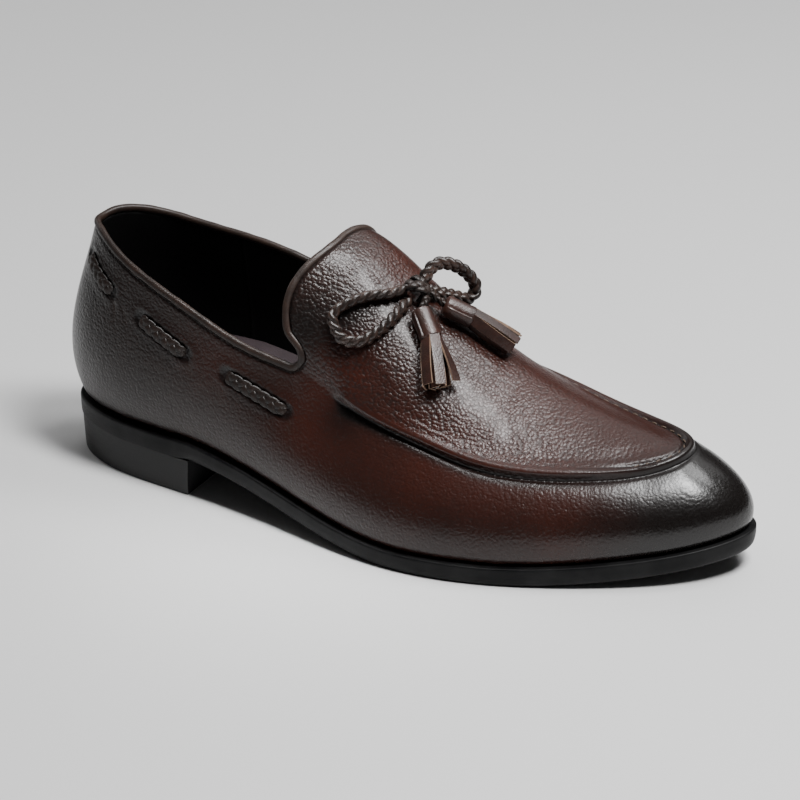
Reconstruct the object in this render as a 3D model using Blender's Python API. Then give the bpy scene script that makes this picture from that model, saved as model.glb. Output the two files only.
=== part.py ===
"""Tassel loafer for the right foot: sole, heel, insole, upper, binding, lace bars, bow and tassels.

Stations run forward from the back of the sole, sides run from lateral (minus) to medial (plus),
and heights stand over the floor. Tables are in millimetres, and MM turns them into metres.
"""
import bmesh
import bpy
import numpy as np

MM = 0.001
HALF_TURN = np.pi
TURN = 2.0 * np.pi
SHARP_ANGLE = np.radians(40.0)

# Frame: the station and the side that the part's origin stands over
ORIGIN_STATION = 146.5
ORIGIN_SIDE = -4.4

# Sole and heel
SOLE_LENGTH = 295.0
SOLE_THICKNESS = 7.8
SOLE_TOP_STEP = 0.9
SOLE_FOOT_STEP = 1.5
HEEL_HEIGHT = 16.0
HEEL_BREAST = 68.0
HEEL_TAPER = 1.2
HEEL_SETBACK = 0.6
TREAD_START = 172.0
TREAD_END = 206.0
TOE_SPRING = 9.5
HEEL_POINTS = 40
INSOLE_THICKNESS = 2.2
INSOLE_CLEARANCE = 0.6
GAP = 0.3

# Upper
WALL_THICKNESS = 1.8
WELT = 2.4
WALL_FULLNESS = 0.39
CORNER_STATION = 121.0
APRON_FRONT_STATION = 272.0
THROAT_ROUND = 2.4
THROAT_BACK = 24.5
THROAT_FORWARD = 12.0
THROAT_CROWN = 0.15
THROAT_CORNER = 0.12
MEDIAL_ROUND = 0.3
SEAM_RAISE = 1.8
SEAM_FADE = 34.0
CORNER_FILL = (-1.5, 0.0, 2.2)

# Binding and lace bars
BINDING_WIDTH = 2.8
BINDING_HEIGHT = 2.6
BINDING_CORNER = 7.0
BINDING_GAP = 0.5
BAR_WIDTH = 5.2
BAR_THICKNESS = 2.2

# Bow and tassels
CORD_DIAMETER = 4.0
KNOT_RADII = (6.0, 4.6, 3.8)
CAP_RADIUS = 4.4
STRIP_COUNT = 9
STRIP_SIDES = 4
STRIP_DEPTH = 0.34
STRIP_CROWN = 0.12

SOLE_EDGE = (
    # inset from the outline, height over the sole's underside
    (SOLE_FOOT_STEP, 0.0),
    (0.5, 1.6),
    (0.0, SOLE_THICKNESS - 1.2),
    (SOLE_TOP_STEP, SOLE_THICKNESS),
)

HEEL_EDGE = (
    # inset from the outline, setback of the breast, height over the floor
    (HEEL_TAPER, 2.0, 0.0),
    (HEEL_TAPER - 0.5, 1.4, 0.8),
    (HEEL_SETBACK, 0.2, HEEL_HEIGHT - GAP),
)

LATERAL_SECTIONS = (
    # station and side of the sole's edge, then top station, top side and top height of the wall,
    # then the wall's lean at its foot and at its top, in degrees
    (0.0, 0.5, 10.5, 0.5, 98.0, 22.0, 14.0),
    (15.0, -20.0, 19.5, -13.0, 97.0, 22.0, 13.0),
    (30.0, -26.5, 32.0, -20.5, 92.0, 20.0, 11.0),
    (48.0, -30.5, 49.0, -25.5, 85.5, 18.0, 9.0),
    (68.0, -33.5, 68.5, -28.5, 78.0, 16.0, 8.0),
    (95.0, -38.0, 96.0, -31.0, 68.0, 14.0, 9.0),
    (121.0, -44.5, 122.0, -31.5, 62.5, 14.0, 14.0),
    (150.0, -52.0, 151.5, -34.5, 54.0, 14.0, 26.0),
    (175.0, -55.0, 174.5, -36.0, 48.5, 14.0, 38.0),
    (200.0, -52.5, 196.5, -35.0, 43.0, 13.0, 46.0),
    (225.0, -45.0, 218.5, -29.5, 40.5, 13.0, 52.0),
    (250.0, -34.0, 241.0, -19.5, 40.5, 14.0, 56.0),
    (272.0, -21.5, 257.5, -8.5, 42.0, 18.0, 60.0),
    (288.0, -7.5, 266.0, 0.0, 44.5, 22.0, 62.0),
    (295.0, 8.0, 267.5, 8.0, 45.5, 24.0, 62.0),
)

MEDIAL_SECTIONS = (
    # the same columns; the first and the last row are the lateral table's
    (15.0, 22.0, 20.0, 15.0, 98.5, 22.0, 13.0),
    (30.0, 29.0, 32.0, 22.5, 95.0, 20.0, 11.0),
    (48.0, 32.0, 48.5, 26.5, 91.0, 18.0, 9.0),
    (68.0, 31.5, 68.0, 28.0, 88.0, 17.0, 7.0),
    (95.0, 28.5, 95.0, 28.0, 82.0, 22.0, 7.0),
    (121.0, 28.0, 121.0, 28.0, 73.0, 26.0, 10.0),
    (150.0, 32.0, 150.5, 29.0, 64.5, 24.0, 20.0),
    (175.0, 39.0, 177.0, 31.0, 58.0, 20.0, 30.0),
    (200.0, 45.0, 201.5, 31.5, 52.5, 17.0, 39.0),
    (225.0, 46.0, 223.0, 29.5, 48.0, 16.0, 48.0),
    (250.0, 40.5, 243.0, 25.0, 46.0, 17.0, 56.0),
    (272.0, 32.0, 257.0, 20.3, 45.5, 21.0, 60.0),
    (288.0, 21.5, 264.8, 14.6, 45.5, 24.0, 62.0),
)

RIDGE = (
    # station, side, height of the line down the middle of the tongue and the apron
    (123.0, 2.0, 109.5),
    (134.0, 2.0, 106.0),
    (145.0, 2.0, 98.5),
    (156.0, 2.0, 90.3),
    (172.0, 2.5, 80.0),
    (195.0, 3.5, 67.2),
    (220.0, 5.0, 56.6),
    (245.0, 6.5, 49.8),
    (268.0, 8.0, 45.6),
)

LACE_BARS = (
    # number, back station and height, front station and height
    (1, 11.5, 87.0, 28.0, 79.5),
    (2, 47.0, 71.0, 67.0, 63.0),
    (3, 89.0, 55.0, 113.5, 49.0),
)

BOW_KNOT = (-0.08, 0.785, 4.4)

LATERAL_LOOP = (
    # across and back on the apron, lift of the cord's middle over it
    (-0.20, 0.812, 3.6),
    (-0.32, 0.828, 2.9),
    (-0.47, 0.860, 2.7),
    (-0.61, 0.887, 2.7),
    (-0.70, 0.903, 2.7),
    (-0.77, 0.910, 2.7),
    (-0.81, 0.900, 2.7),
    (-0.83, 0.883, 2.7),
    (-0.81, 0.863, 2.7),
    (-0.76, 0.840, 2.7),
    (-0.67, 0.820, 2.7),
    (-0.54, 0.802, 2.7),
    (-0.39, 0.792, 2.7),
    (-0.25, 0.786, 2.9),
)

MEDIAL_LOOP = (
    # forward, to the medial side and up from the knot's middle
    (0.6, 4.0, 2.9),
    (1.2, 7.2, 5.6),
    (3.0, 11.5, 7.2),
    (6.5, 15.5, 6.0),
    (10.0, 19.5, 2.4),
    (12.5, 22.0, -2.0),
    (13.5, 22.5, -6.0),
    (12.3, 20.5, -9.0),
    (9.5, 16.5, -7.8),
    (6.5, 11.0, -4.9),
    (2.0, 4.7, -1.9),
)

TASSELS = (
    # name, the neck's start from the knot's middle (forward, medial, up),
    # then across, back and lift at the cap's top, at the strips' root and at the strips' ends
    ("tassel_lateral", (5.1, -3.3, -2.1), (-0.27, 0.753, 5.3), (-0.42, 0.700, 5.2), (-0.71, 0.650, 4.4)),
    ("tassel_medial", (6.4, 0.8, -1.4), (-0.02, 0.717, 5.6), (0.09, 0.652, 5.4), (0.06, 0.532, 4.6)),
)

TASSEL_PROFILE = (
    # place along a tassel (0 its neck's start, 1 the cap's top, 2 the strips' root, 3 their ends),
    # radius over the cap's, share of the strips' depth, flattening
    (0.0, 0.34, 0.0, 0.0),
    (0.93, 0.34, 0.0, 0.0),
    (1.0, 0.72, 0.0, 0.0),
    (1.12, 0.93, 0.0, 0.0),
    (2.0, 1.0, 0.0, 0.0),
    (2.04, 0.9, 0.5, 0.0),
    (2.35, 0.97, 0.85, 0.08),
    (2.7, 1.12, 1.0, 0.2),
    (3.0, 1.3, 1.0, 0.32),
)


# Curves
def turn_of(station):
    """Angle round the outline at a station, from nothing at the heel to half a turn at the toe."""
    return np.arccos(np.clip(1.0 - 2.0 * np.asarray(station, float) / SOLE_LENGTH, -1.0, 1.0))


def smooth_step(value, low, high):
    """Cubic ease from nothing at low to one at high."""
    share = np.clip((np.asarray(value, float) - low) / (high - low), 0.0, 1.0)
    return share * share * (3.0 - 2.0 * share)


def smooth_curve(knots, values, period=None):
    """Cubic curve with continuous bending through the knots, closed when a period is given."""
    knots = np.asarray(knots, float)
    values = np.asarray(values, float)
    if period:
        knots = np.append(knots, knots[0] + period)
        values = np.append(values, values[0])
    count = len(knots)
    step = np.diff(knots)
    slope = np.diff(values) / step
    matrix = np.zeros((count, count))
    right = np.zeros(count)
    inner = np.arange(1, count - 1)
    matrix[inner, inner - 1] = step[:-1]
    matrix[inner, inner] = 2.0 * (step[:-1] + step[1:])
    matrix[inner, inner + 1] = step[1:]
    right[inner] = 6.0 * np.diff(slope)
    if period:
        matrix[0, 0] = 2.0 * (step[0] + step[-1])
        matrix[0, 1] = step[0]
        matrix[0, count - 2] = step[-1]
        right[0] = 6.0 * (slope[0] - slope[-1])
        matrix[-1, 0] = 1.0
        matrix[-1, -1] = -1.0
    else:
        matrix[0, 0] = 1.0
        matrix[-1, -1] = 1.0
    bend = np.linalg.solve(matrix, right)

    def curve(at):
        at = np.asarray(at, float)
        if period:
            at = (at - knots[0]) % period + knots[0]
        i = np.clip(np.searchsorted(knots, at, side="right") - 1, 0, count - 2)
        back = (knots[i + 1] - at) / step[i]
        front = 1.0 - back
        cubic = (back ** 3 - back) * bend[i] + (front ** 3 - front) * bend[i + 1]
        return back * values[i] + front * values[i + 1] + cubic * step[i] ** 2 / 6.0

    return curve


def curve_around(column):
    """Closed curve through one column of both section tables, by the angle round the outline."""
    lateral = np.array(LATERAL_SECTIONS)
    medial = np.array(MEDIAL_SECTIONS)[::-1]
    knots = np.concatenate([turn_of(lateral[:, 0]), TURN - turn_of(medial[:, 0])])
    return smooth_curve(knots, np.concatenate([lateral[:, column], medial[:, column]]), TURN)


side_around = curve_around(1)
top_station_around = curve_around(2)
top_side_around = curve_around(3)
top_height_around = curve_around(4)
foot_lean_around = curve_around(5)
top_lean_around = curve_around(6)
ridge_side = smooth_curve(np.array(RIDGE)[:, 0], np.array(RIDGE)[:, 1])
ridge_height = smooth_curve(np.array(RIDGE)[:, 0], np.array(RIDGE)[:, 2])


def unit(vectors):
    """The vectors at length one."""
    return vectors / np.linalg.norm(vectors, axis=-1, keepdims=True)


def outline(turn, inset=0.0):
    """Plan of the sole moved in by an inset along its own normal, and the outward normal."""
    small = 1e-4
    along = SOLE_LENGTH / 2.0 * np.sin(turn)
    across = (side_around(turn + small) - side_around(turn - small)) / (2.0 * small)
    normal = unit(np.stack([across, -along], -1))
    plan = np.stack([SOLE_LENGTH / 2.0 * (1.0 - np.cos(turn)), side_around(turn)], -1)
    return plan - normal * np.asarray(inset, float)[..., None], normal


def tread_height(station):
    """Underside of the sole: level heel seat, falling waist, flat tread and toe spring."""
    waist = np.clip((TREAD_START - station) / (TREAD_START - HEEL_BREAST), 0.0, 1.0)
    spring = np.clip((station - TREAD_END) / (SOLE_LENGTH - TREAD_END), 0.0, 1.0)
    fall = 0.55 * waist ** 2 * (3.0 - 2.0 * waist) + 0.45 * waist ** 1.7
    return HEEL_HEIGHT * fall + TOE_SPRING * spring ** 1.8


def over_sole(plan, lift):
    """Points over a plan, at a lift above the top of the sole."""
    height = tread_height(plan[..., 0]) + SOLE_THICKNESS + lift
    return np.concatenate([plan, height[..., None]], -1)


def feather_line(turn):
    """Foot of the upper's wall, just inside the sole's edge."""
    return over_sole(outline(turn, WELT)[0], GAP)


def top_line(turn):
    """Top of the upper's wall: the collar behind the throat, the apron's seam in front of it."""
    return np.stack([top_station_around(turn), top_side_around(turn), top_height_around(turn)], -1)


def lean_direction(turn, degrees):
    """Direction up the wall, leaning out from upright by the given degrees."""
    out = outline(turn)[1] * np.sin(np.radians(degrees))[..., None]
    return np.concatenate([out, np.cos(np.radians(degrees))[..., None]], -1)


def wall(turn, rise):
    """Wall of the upper: each section is a cubic from the feather line (rise 0) to the top line (rise 1)."""
    foot = feather_line(turn)
    top = top_line(turn)
    reach = WALL_FULLNESS * np.linalg.norm(top - foot, axis=-1, keepdims=True)
    low = foot + reach * lean_direction(turn, foot_lean_around(turn))
    high = top - reach * lean_direction(turn, -top_lean_around(turn))
    rise = np.asarray(rise, float)[..., None]
    fall = 1.0 - rise
    return fall ** 3 * foot + 3.0 * fall ** 2 * rise * low + 3.0 * fall * rise ** 2 * high + rise ** 3 * top


def seam_offset(turn):
    """Raised seam: how far the top line is pushed out of the wall, fading towards the throat."""
    station = SOLE_LENGTH / 2.0 * (1.0 - np.cos(turn))
    push = SEAM_RAISE * smooth_step(station, CORNER_STATION, CORNER_STATION + SEAM_FADE)
    return push[..., None] * lean_direction(turn, 90.0 - top_lean_around(turn))


def apron_turns(across, back):
    """Angles of the top line at the lateral and medial ends of an apron row, and along its front."""
    front = turn_of(APRON_FRONT_STATION)
    side = front + (turn_of(CORNER_STATION) - front) * back
    return side, TURN - side, front + (TURN - 2.0 * front) * (across + 1.0) / 2.0


def round_spread(spread):
    """Shares across the throat that step evenly round its arch."""
    return np.sign(spread) * np.abs(np.sin(HALF_TURN / 2.0 * spread)) ** (2.0 / THROAT_ROUND)


def throat_swing(across, back):
    """How far rows near the throat swing along the shoe: back laterally, forward medially."""
    bow = np.clip(1.0 - across ** 2, 0.0, None)
    lateral = -THROAT_BACK * across ** 2 * smooth_step(bow, 0.0, THROAT_CORNER) * back ** 5
    medial = THROAT_FORWARD * across ** 2 / (np.abs(across) + THROAT_CROWN) * back ** 8
    return np.where(across < 0.0, lateral, medial) * np.sqrt(bow)


def apron(across, back):
    """Apron and tongue: rows arch from lateral (across -1) to medial (1), from the toe's seam (back 0) to
    the throat (back 1). A row is its chord plus an arch up to the ridge; the first row is the seam itself."""
    across, back = np.broadcast_arrays(np.asarray(across, float), np.asarray(back, float))
    lateral_turn, medial_turn, front_turn = apron_turns(across, back)
    lateral = top_line(lateral_turn)
    medial = top_line(medial_turn)
    share = (across[..., None] + 1.0) / 2.0
    tip = top_line(np.array(HALF_TURN))
    station = tip[0] + (RIDGE[0][0] - tip[0]) * back
    side = ridge_side(station) + (tip[1] - ridge_side(tip[0])) * (1.0 - back) ** 2
    height = ridge_height(station) + (tip[2] - ridge_height(tip[0])) * (1.0 - back) ** 4
    lift = np.stack([station, side, height], -1) - (lateral + medial) / 2.0
    bow = np.clip(1.0 - across ** 2, 0.0, None)
    blend = np.clip((back - 0.35) / 0.65, 0.0, 1.0) ** 1.3
    power = 2.0 + (THROAT_ROUND - 2.0) * blend
    straight = (np.hypot(across, MEDIAL_ROUND) - MEDIAL_ROUND) / (np.hypot(1.0, MEDIAL_ROUND) - MEDIAL_ROUND)
    flat = smooth_step(back, 0.0, 0.15) * (1.0 - smooth_step(back, 0.5, 0.85)) * (across > 0.0)
    fall = np.abs(across) ** power
    root = 1.0 + (1.0 / THROAT_ROUND - 1.0) * blend
    arch = np.clip(1.0 - fall - (straight - fall) * flat, 0.0, None) ** root
    shape = np.stack([bow, bow, arch], -1)
    point = (1.0 - share) * lateral + share * medial + shape * lift
    point[..., 0] += throat_swing(across, back)
    end_turns = apron_turns(0.0, 0.0)
    ends = [top_line(np.asarray(turn, float)) for turn in end_turns[:2]]
    first = (1.0 - share) * ends[0] + share * ends[1] + bow[..., None] * (tip - (ends[0] + ends[1]) / 2.0)
    return point + (top_line(front_turn) - first) * ((1.0 - back) ** 4)[..., None]


# Meshes
def to_frame(points):
    """Station, side and height in millimetres to metres in the part's frame."""
    return (np.asarray(points, float) - np.array([ORIGIN_STATION, ORIGIN_SIDE, 0.0])) * MM


def add_material(name, colour, roughness):
    """Principled material with one colour."""
    material = bpy.data.materials.new(name)
    material.use_nodes = True
    shader = material.node_tree.nodes["Principled BSDF"]
    shader.inputs["Base Color"].default_value = (*colour, 1.0)
    shader.inputs["Roughness"].default_value = roughness
    return material


def add_object(name, points, faces, material):
    """Mesh object of one piece, its doubled points joined and its faces turned outward."""
    mesh = bpy.data.meshes.new(name)
    mesh.from_pydata(to_frame(points).tolist(), [], faces)
    work = bmesh.new()
    work.from_mesh(mesh)
    bmesh.ops.remove_doubles(work, verts=work.verts, dist=0.01 * MM)
    bmesh.ops.recalc_face_normals(work, faces=work.faces)
    work.to_mesh(mesh)
    work.free()
    mesh.shade_smooth()
    mesh.set_sharp_from_angle(angle=SHARP_ANGLE)
    mesh.materials.append(material)
    piece = bpy.data.objects.new(name, mesh)
    bpy.context.scene.collection.objects.link(piece)
    return piece


def grid_faces(rows, columns, start=0, closed=False):
    """Quads of a grid of points stored row by row, its columns closed into rings if asked."""
    row, column = np.meshgrid(np.arange(rows - 1), np.arange(columns - (0 if closed else 1)), indexing="ij")
    following = (column + 1) % columns
    corners = (row * columns + column, row * columns + following,
               (row + 1) * columns + following, (row + 1) * columns + column)
    return (np.stack(corners, -1).reshape(-1, 4) + start).tolist()


def cap_faces(start, count):
    """Strips across a ring of points, joining each point to the one opposite it at the same station."""
    half = count // 2
    faces = [(start, start + 1, start + count - 1)]
    for i in range(1, half - 1):
        faces.append((start + i, start + i + 1, start + count - i - 1, start + count - i))
    faces.append((start + half - 1, start + half, start + half + 1))
    return faces


def ring_solid(name, rings, material):
    """Solid through rings of points with an even count each, closed with strips at both ends."""
    rings = np.asarray(rings, float)
    rows, count = rings.shape[:2]
    faces = grid_faces(rows, count, closed=True)
    faces += cap_faces(0, count) + cap_faces((rows - 1) * count, count)
    return add_object(name, rings.reshape(-1, 3), faces, material)


def tube_solid(name, path, side, lift, half_width, half_height, sides, material, closed=False):
    """Solid with an oval section carried along a path, side and lift being the section's two directions."""
    angle = TURN * (np.arange(sides) + 0.5) / sides
    oval_side = (half_width[:, None] * np.cos(angle))[..., None] * side[:, None, :]
    oval_lift = (half_height[:, None] * np.sin(angle))[..., None] * lift[:, None, :]
    rings = path[:, None, :] + oval_side + oval_lift
    if closed:
        rings = np.concatenate([rings, rings[:1]])
    faces = grid_faces(len(rings), sides, closed=True)
    points = rings.reshape(-1, 3)
    if not closed:
        last = len(points)
        points = np.concatenate([points, path[:1], path[-1:]])
        for i in range(sides):
            after = (i + 1) % sides
            faces.append((last, after, i))
            faces.append((last + 1, last - sides + i, last - sides + after))
    return add_object(name, points, faces, material)


def along_path(path, closed=False):
    """Unit tangents of a path."""
    if closed:
        return unit(np.roll(path, -1, axis=0) - np.roll(path, 1, axis=0))
    return unit(np.gradient(path, axis=0))


def lengths_along(path):
    """Length of a path up to each of its points."""
    return np.append(0.0, np.cumsum(np.linalg.norm(np.diff(path, axis=0), axis=1)))


def square_to(vectors, tangent):
    """Unit vectors turned square to the tangents."""
    return unit(vectors - (vectors * tangent).sum(-1, keepdims=True) * tangent)


# Pieces
def build_sole(material):
    """Outsole: rings from its underside up to its top, with a step at each edge."""
    turn = np.linspace(0.0, TURN, 96, endpoint=False)
    rings = []
    for inset, height in SOLE_EDGE:
        rings.append(over_sole(outline(turn, inset)[0], height - SOLE_THICKNESS))
    return ring_solid("outsole", rings, material)


def build_heel(material):
    """Heel block: the back of the sole's outline down to the floor, tapering, with a straight breast."""
    breast = turn_of(HEEL_BREAST)
    turn = np.linspace(-breast, breast, HEEL_POINTS)
    rings = []
    for inset, setback, height in HEEL_EDGE:
        plan = outline(turn, inset)[0]
        plan[[0, -1], 0] = HEEL_BREAST - setback
        plan = np.roll(plan, -HEEL_POINTS // 2, axis=0)
        rings.append(np.concatenate([plan, np.full((HEEL_POINTS, 1), height)], -1))
    return heel_solid(rings, material)


def heel_solid(rings, material):
    """Solid of the heel's rings, closed with strips between points opposite each other."""
    rings = np.asarray(rings)
    count = rings.shape[1]
    faces = grid_faces(len(rings), count, closed=True)
    for start in (0, (len(rings) - 1) * count):
        for i in range(count // 2 - 1):
            faces.append((start + i, start + i + 1, start + count - 2 - i, start + count - 1 - i))
    return add_object("heel", rings.reshape(-1, 3), faces, material)


def build_insole(material):
    """Insole: a sheet over the sole's top, clear of the wall all round."""
    turn = np.linspace(0.0, TURN, 72, endpoint=False)
    plan = outline(turn, WELT + WALL_THICKNESS + INSOLE_CLEARANCE)[0]
    rings = [over_sole(plan, GAP), over_sole(plan, GAP + INSOLE_THICKNESS)]
    return ring_solid("insole", rings, material)


def upper_grids():
    """Outer sheet of the upper as two grids that share the apron's seam: the wall and the apron."""
    spread = np.linspace(-1.0, 1.0, 17)
    back = np.concatenate([[0.0, 0.018], np.linspace(0.055, 1.0, 19)])[:, None]
    even = 0.6 * spread + 0.4 * np.sin(HALF_TURN / 2.0 * spread)
    across = even + (round_spread(spread) - even) * back ** 2
    lateral, medial, _ = apron_turns(0.0, back)
    front = apron_turns(even, 0.0)[2]
    corner = turn_of(CORNER_STATION)
    rear = np.linspace(-corner, corner, 45)
    turn = np.concatenate([rear[:-1], lateral[::-1, 0], front[1:-1], medial[:-1, 0]])
    rise = np.array([0.0, 0.07, 0.16, 0.27, 0.4, 0.54, 0.68, 0.82, 0.94, 1.0])
    wall_grid = wall(turn[:, None] + 0.0 * rise, 0.0 * turn[:, None] + rise)
    wall_grid[:, -1] += seam_offset(turn)
    apron_grid = apron(across, back)
    apron_grid[:, 0] += seam_offset(lateral[:, 0])
    apron_grid[:, -1] += seam_offset(medial[:, 0])
    apron_grid[0, 1:-1] += seam_offset(front[1:-1])
    corner_points = (wall_grid[0, -1], wall_grid[len(rear) - 1, -1], apron_grid[-1, 0], apron_grid[-1, -1])
    for corner_point in corner_points:
        corner_point += CORNER_FILL
    return wall_grid, apron_grid


def build_upper(material):
    """Upper: one sheet from the feather line over wall, seam, apron and tongue, thickened inward."""
    wall_grid, apron_grid = upper_grids()
    columns, rows = wall_grid.shape[:2]
    faces = grid_faces(columns + 1, rows)
    points = np.concatenate([wall_grid, wall_grid[:1]]).reshape(-1, 3)
    faces += grid_faces(*apron_grid.shape[:2], start=len(points))
    points = np.concatenate([points, apron_grid.reshape(-1, 3)])
    upper = add_object("upper", points, faces, material)
    outward = sum((corner.center * corner.area).dot(corner.normal) for corner in upper.data.polygons)
    if outward < 0.0:
        upper.data.flip_normals()
    solid = upper.modifiers.new("Wall", "SOLIDIFY")
    solid.thickness = WALL_THICKNESS * MM
    solid.offset = -1.0
    solid.use_even_offset = False
    return upper


def opening_edge():
    """Edge of the foot opening: its points, the direction off the edge and the wall's outward normal."""
    corner = turn_of(CORNER_STATION)
    small = 0.002
    collar_turn = np.linspace(-corner, corner, 81)
    collar = top_line(collar_turn)
    collar_off = unit(collar - wall(collar_turn, np.full(81, 1.0 - small)))
    collar_along = along_path(collar)
    collar_off = square_to(collar_off, collar_along)
    across = round_spread(np.linspace(-1.0, 1.0, 61))
    throat = apron(across, 1.0)
    throat_off = unit(throat - apron(across, 1.0 - small))
    throat_along = along_path(throat)
    throat_off = square_to(throat_off, throat_along)
    points = np.concatenate([collar, throat])
    off = np.concatenate([collar_off, throat_off])
    normal = unit(np.cross(off, np.concatenate([collar_along, throat_along])))
    lengths = [lengths_along(collar), lengths_along(throat)]
    keep = np.concatenate([np.minimum(length, length[-1] - length) for length in lengths]) > BINDING_CORNER
    return points[keep], off[keep], normal[keep]


def closed_path(points, count):
    """Function that carries values at the points to even steps of length round the closed smooth path."""
    length = np.linalg.norm(np.roll(points, -1, axis=0) - points, axis=1)
    knots = np.append(0.0, np.cumsum(length)[:-1])
    at = np.linspace(0.0, length.sum(), count, endpoint=False)
    return lambda values: np.stack([smooth_curve(knots, column, length.sum())(at) for column in values.T], -1)


def build_binding(material):
    """Binding: a rounded strip round the whole foot opening, standing on the wall's edge."""
    points, off, normal = opening_edge()
    outward = (normal[:, :2] * (points[:, :2] - points[:, :2].mean(0))).sum()
    normal = normal * np.sign(outward)
    centre = points - normal * WALL_THICKNESS / 2.0 + off * (BINDING_GAP + BINDING_HEIGHT / 2.0)
    through = closed_path(centre, 104)
    path = through(centre)
    tangent = along_path(path, closed=True)
    side = square_to(through(normal), tangent)
    lift = np.cross(tangent, side)
    half_width = np.full(len(path), BINDING_WIDTH / 2.0)
    half_height = np.full(len(path), BINDING_HEIGHT / 2.0)
    return tube_solid("topline_binding", path, side, lift, half_width, half_height, 7, material, closed=True)


def on_wall(turn, height):
    """Point of the wall at each height on each section, and the outward normal there."""
    rise = np.linspace(0.0, 1.0, 401)
    sections = wall(turn[:, None] + 0.0 * rise, 0.0 * turn[:, None] + rise)
    at = np.array([np.interp(h, section[:, 2], rise) for h, section in zip(height, sections)])
    small = 1e-3
    up = wall(turn, at + small) - wall(turn, at - small)
    around = wall(turn + small, at) - wall(turn - small, at)
    return wall(turn, at), unit(np.cross(around, up))


def build_bar(name, turn, height, material):
    """Lace bar: a braid showing between two slots, lying over the wall, with its ends drawn in."""
    path, normal = on_wall(turn, height)
    tangent = along_path(path)
    lift = square_to(normal, tangent)
    side = np.cross(tangent, lift)
    share = np.linspace(-1.0, 1.0, len(path))
    draw = np.sqrt(np.clip(1.0 - 0.8 * np.abs(share) ** 6, 0.0, 1.0))
    half_height = draw * BAR_THICKNESS / 2.0
    path = path + lift * (GAP + BAR_THICKNESS / 2.0)
    return tube_solid(name, path, side, lift, draw * BAR_WIDTH / 2.0, half_height, 8, material)


def build_bars(material):
    """Three lace bars on each side of the upper."""
    share = np.linspace(0.0, 1.0, 13)
    for number, back_station, back_height, front_station, front_height in LACE_BARS:
        turn = turn_of(back_station) + (turn_of(front_station) - turn_of(back_station)) * share
        height = back_height + (front_height - back_height) * share
        build_bar(f"lace_bar_lateral_{number}", turn, height, material)
        build_bar(f"lace_bar_medial_{number}", TURN - turn, height, material)


def over_apron(across, back, lift):
    """Points standing over the apron by a lift along its normal, and that normal."""
    across = np.asarray(across, float)
    back = np.asarray(back, float)
    small = 1e-3
    along = apron(across, back - small) - apron(across, back + small)
    over = apron(across + small, back) - apron(across - small, back)
    normal = unit(np.cross(along, over))
    return apron(across, back) + normal * np.asarray(lift, float)[..., None], normal


def smooth_path(points, count):
    """Open smooth path through the points, at even steps of length."""
    points = np.asarray(points, float)
    knots = lengths_along(points)
    at = np.linspace(0.0, knots[-1], count)
    return np.stack([smooth_curve(knots, column)(at) for column in points.T], -1)


def add_cord(name, path, material):
    """Round cord along a path, as a curve with a bevel and closed ends."""
    data = bpy.data.curves.new(name, "CURVE")
    data.dimensions = "3D"
    spline = data.splines.new("POLY")
    spline.points.add(len(path) - 1)
    for point, place in zip(spline.points, to_frame(path)):
        point.co = (*place, 1.0)
    data.bevel_depth = CORD_DIAMETER / 2.0 * MM
    data.bevel_resolution = 2
    data.use_fill_caps = True
    data.materials.append(material)
    cord = bpy.data.objects.new(name, data)
    bpy.context.scene.collection.objects.link(cord)
    return cord


def build_bow(material):
    """Bow: the knot over the ridge, a loop lying on the lateral side and a loop standing out medially."""
    knot, lift = over_apron(*BOW_KNOT)
    forward = square_to(np.array([1.0, 0.0, 0.0]), lift)
    medial = np.cross(lift, forward)
    polar = HALF_TURN * np.arange(1, 8) / 8.0
    around = TURN * np.arange(12) / 12.0
    ball = np.stack([np.outer(np.sin(polar), np.cos(around)), np.outer(np.sin(polar), np.sin(around)),
                     np.outer(np.cos(polar), np.ones(12))], -1)
    axes = np.stack([forward, medial, lift]) * np.array(KNOT_RADII)[:, None]
    ring_solid("bow_knot", knot + ball @ axes, material)
    lateral = np.array(LATERAL_LOOP)
    loop = over_apron(lateral[:, 0], lateral[:, 1], lateral[:, 2])[0]
    add_cord("bow_loop_lateral", smooth_path(loop, 40), material)
    add_cord("bow_loop_medial", smooth_path(knot + np.array(MEDIAL_LOOP), 40), material)
    return knot


def build_tassel(name, neck, places, material):
    """Tassel: a neck from the knot, a smooth cap and a skirt whose strips part as they run out."""
    marks = np.array([neck] + [over_apron(*place)[0] for place in places])
    lift = over_apron(*places[1])[1]
    place, size, depth, flat = np.array(TASSEL_PROFILE).T
    path = np.stack([np.interp(place, np.arange(len(marks)), column) for column in marks.T], -1)
    tangent = along_path(path)
    up = square_to(np.broadcast_to(lift, path.shape), tangent)
    side = np.cross(tangent, up)
    count = STRIP_COUNT * STRIP_SIDES
    number = np.arange(count)
    angle = TURN * number / count
    notch = np.where(number % STRIP_SIDES == 0, 1.0, np.where(number % 2 == 0, -STRIP_CROWN, 0.0))
    radius = CAP_RADIUS * size[:, None] * (1.0 - STRIP_DEPTH * depth[:, None] * notch)
    rings = path[:, None] + (radius * np.cos(angle))[..., None] * side[:, None]
    rings = rings + (radius * (1.0 - flat[:, None]) * np.sin(angle))[..., None] * up[:, None]
    faces = grid_faces(len(path), count, closed=True)
    points = np.concatenate([rings.reshape(-1, 3), path[:1], path[-1:]])
    last = len(path) * count
    for i in range(count):
        after = (i + 1) % count
        faces.append((last, after, i))
        faces.append((last + 1, last - count + i, last - count + after))
    return add_object(name, points, faces, material)


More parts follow.
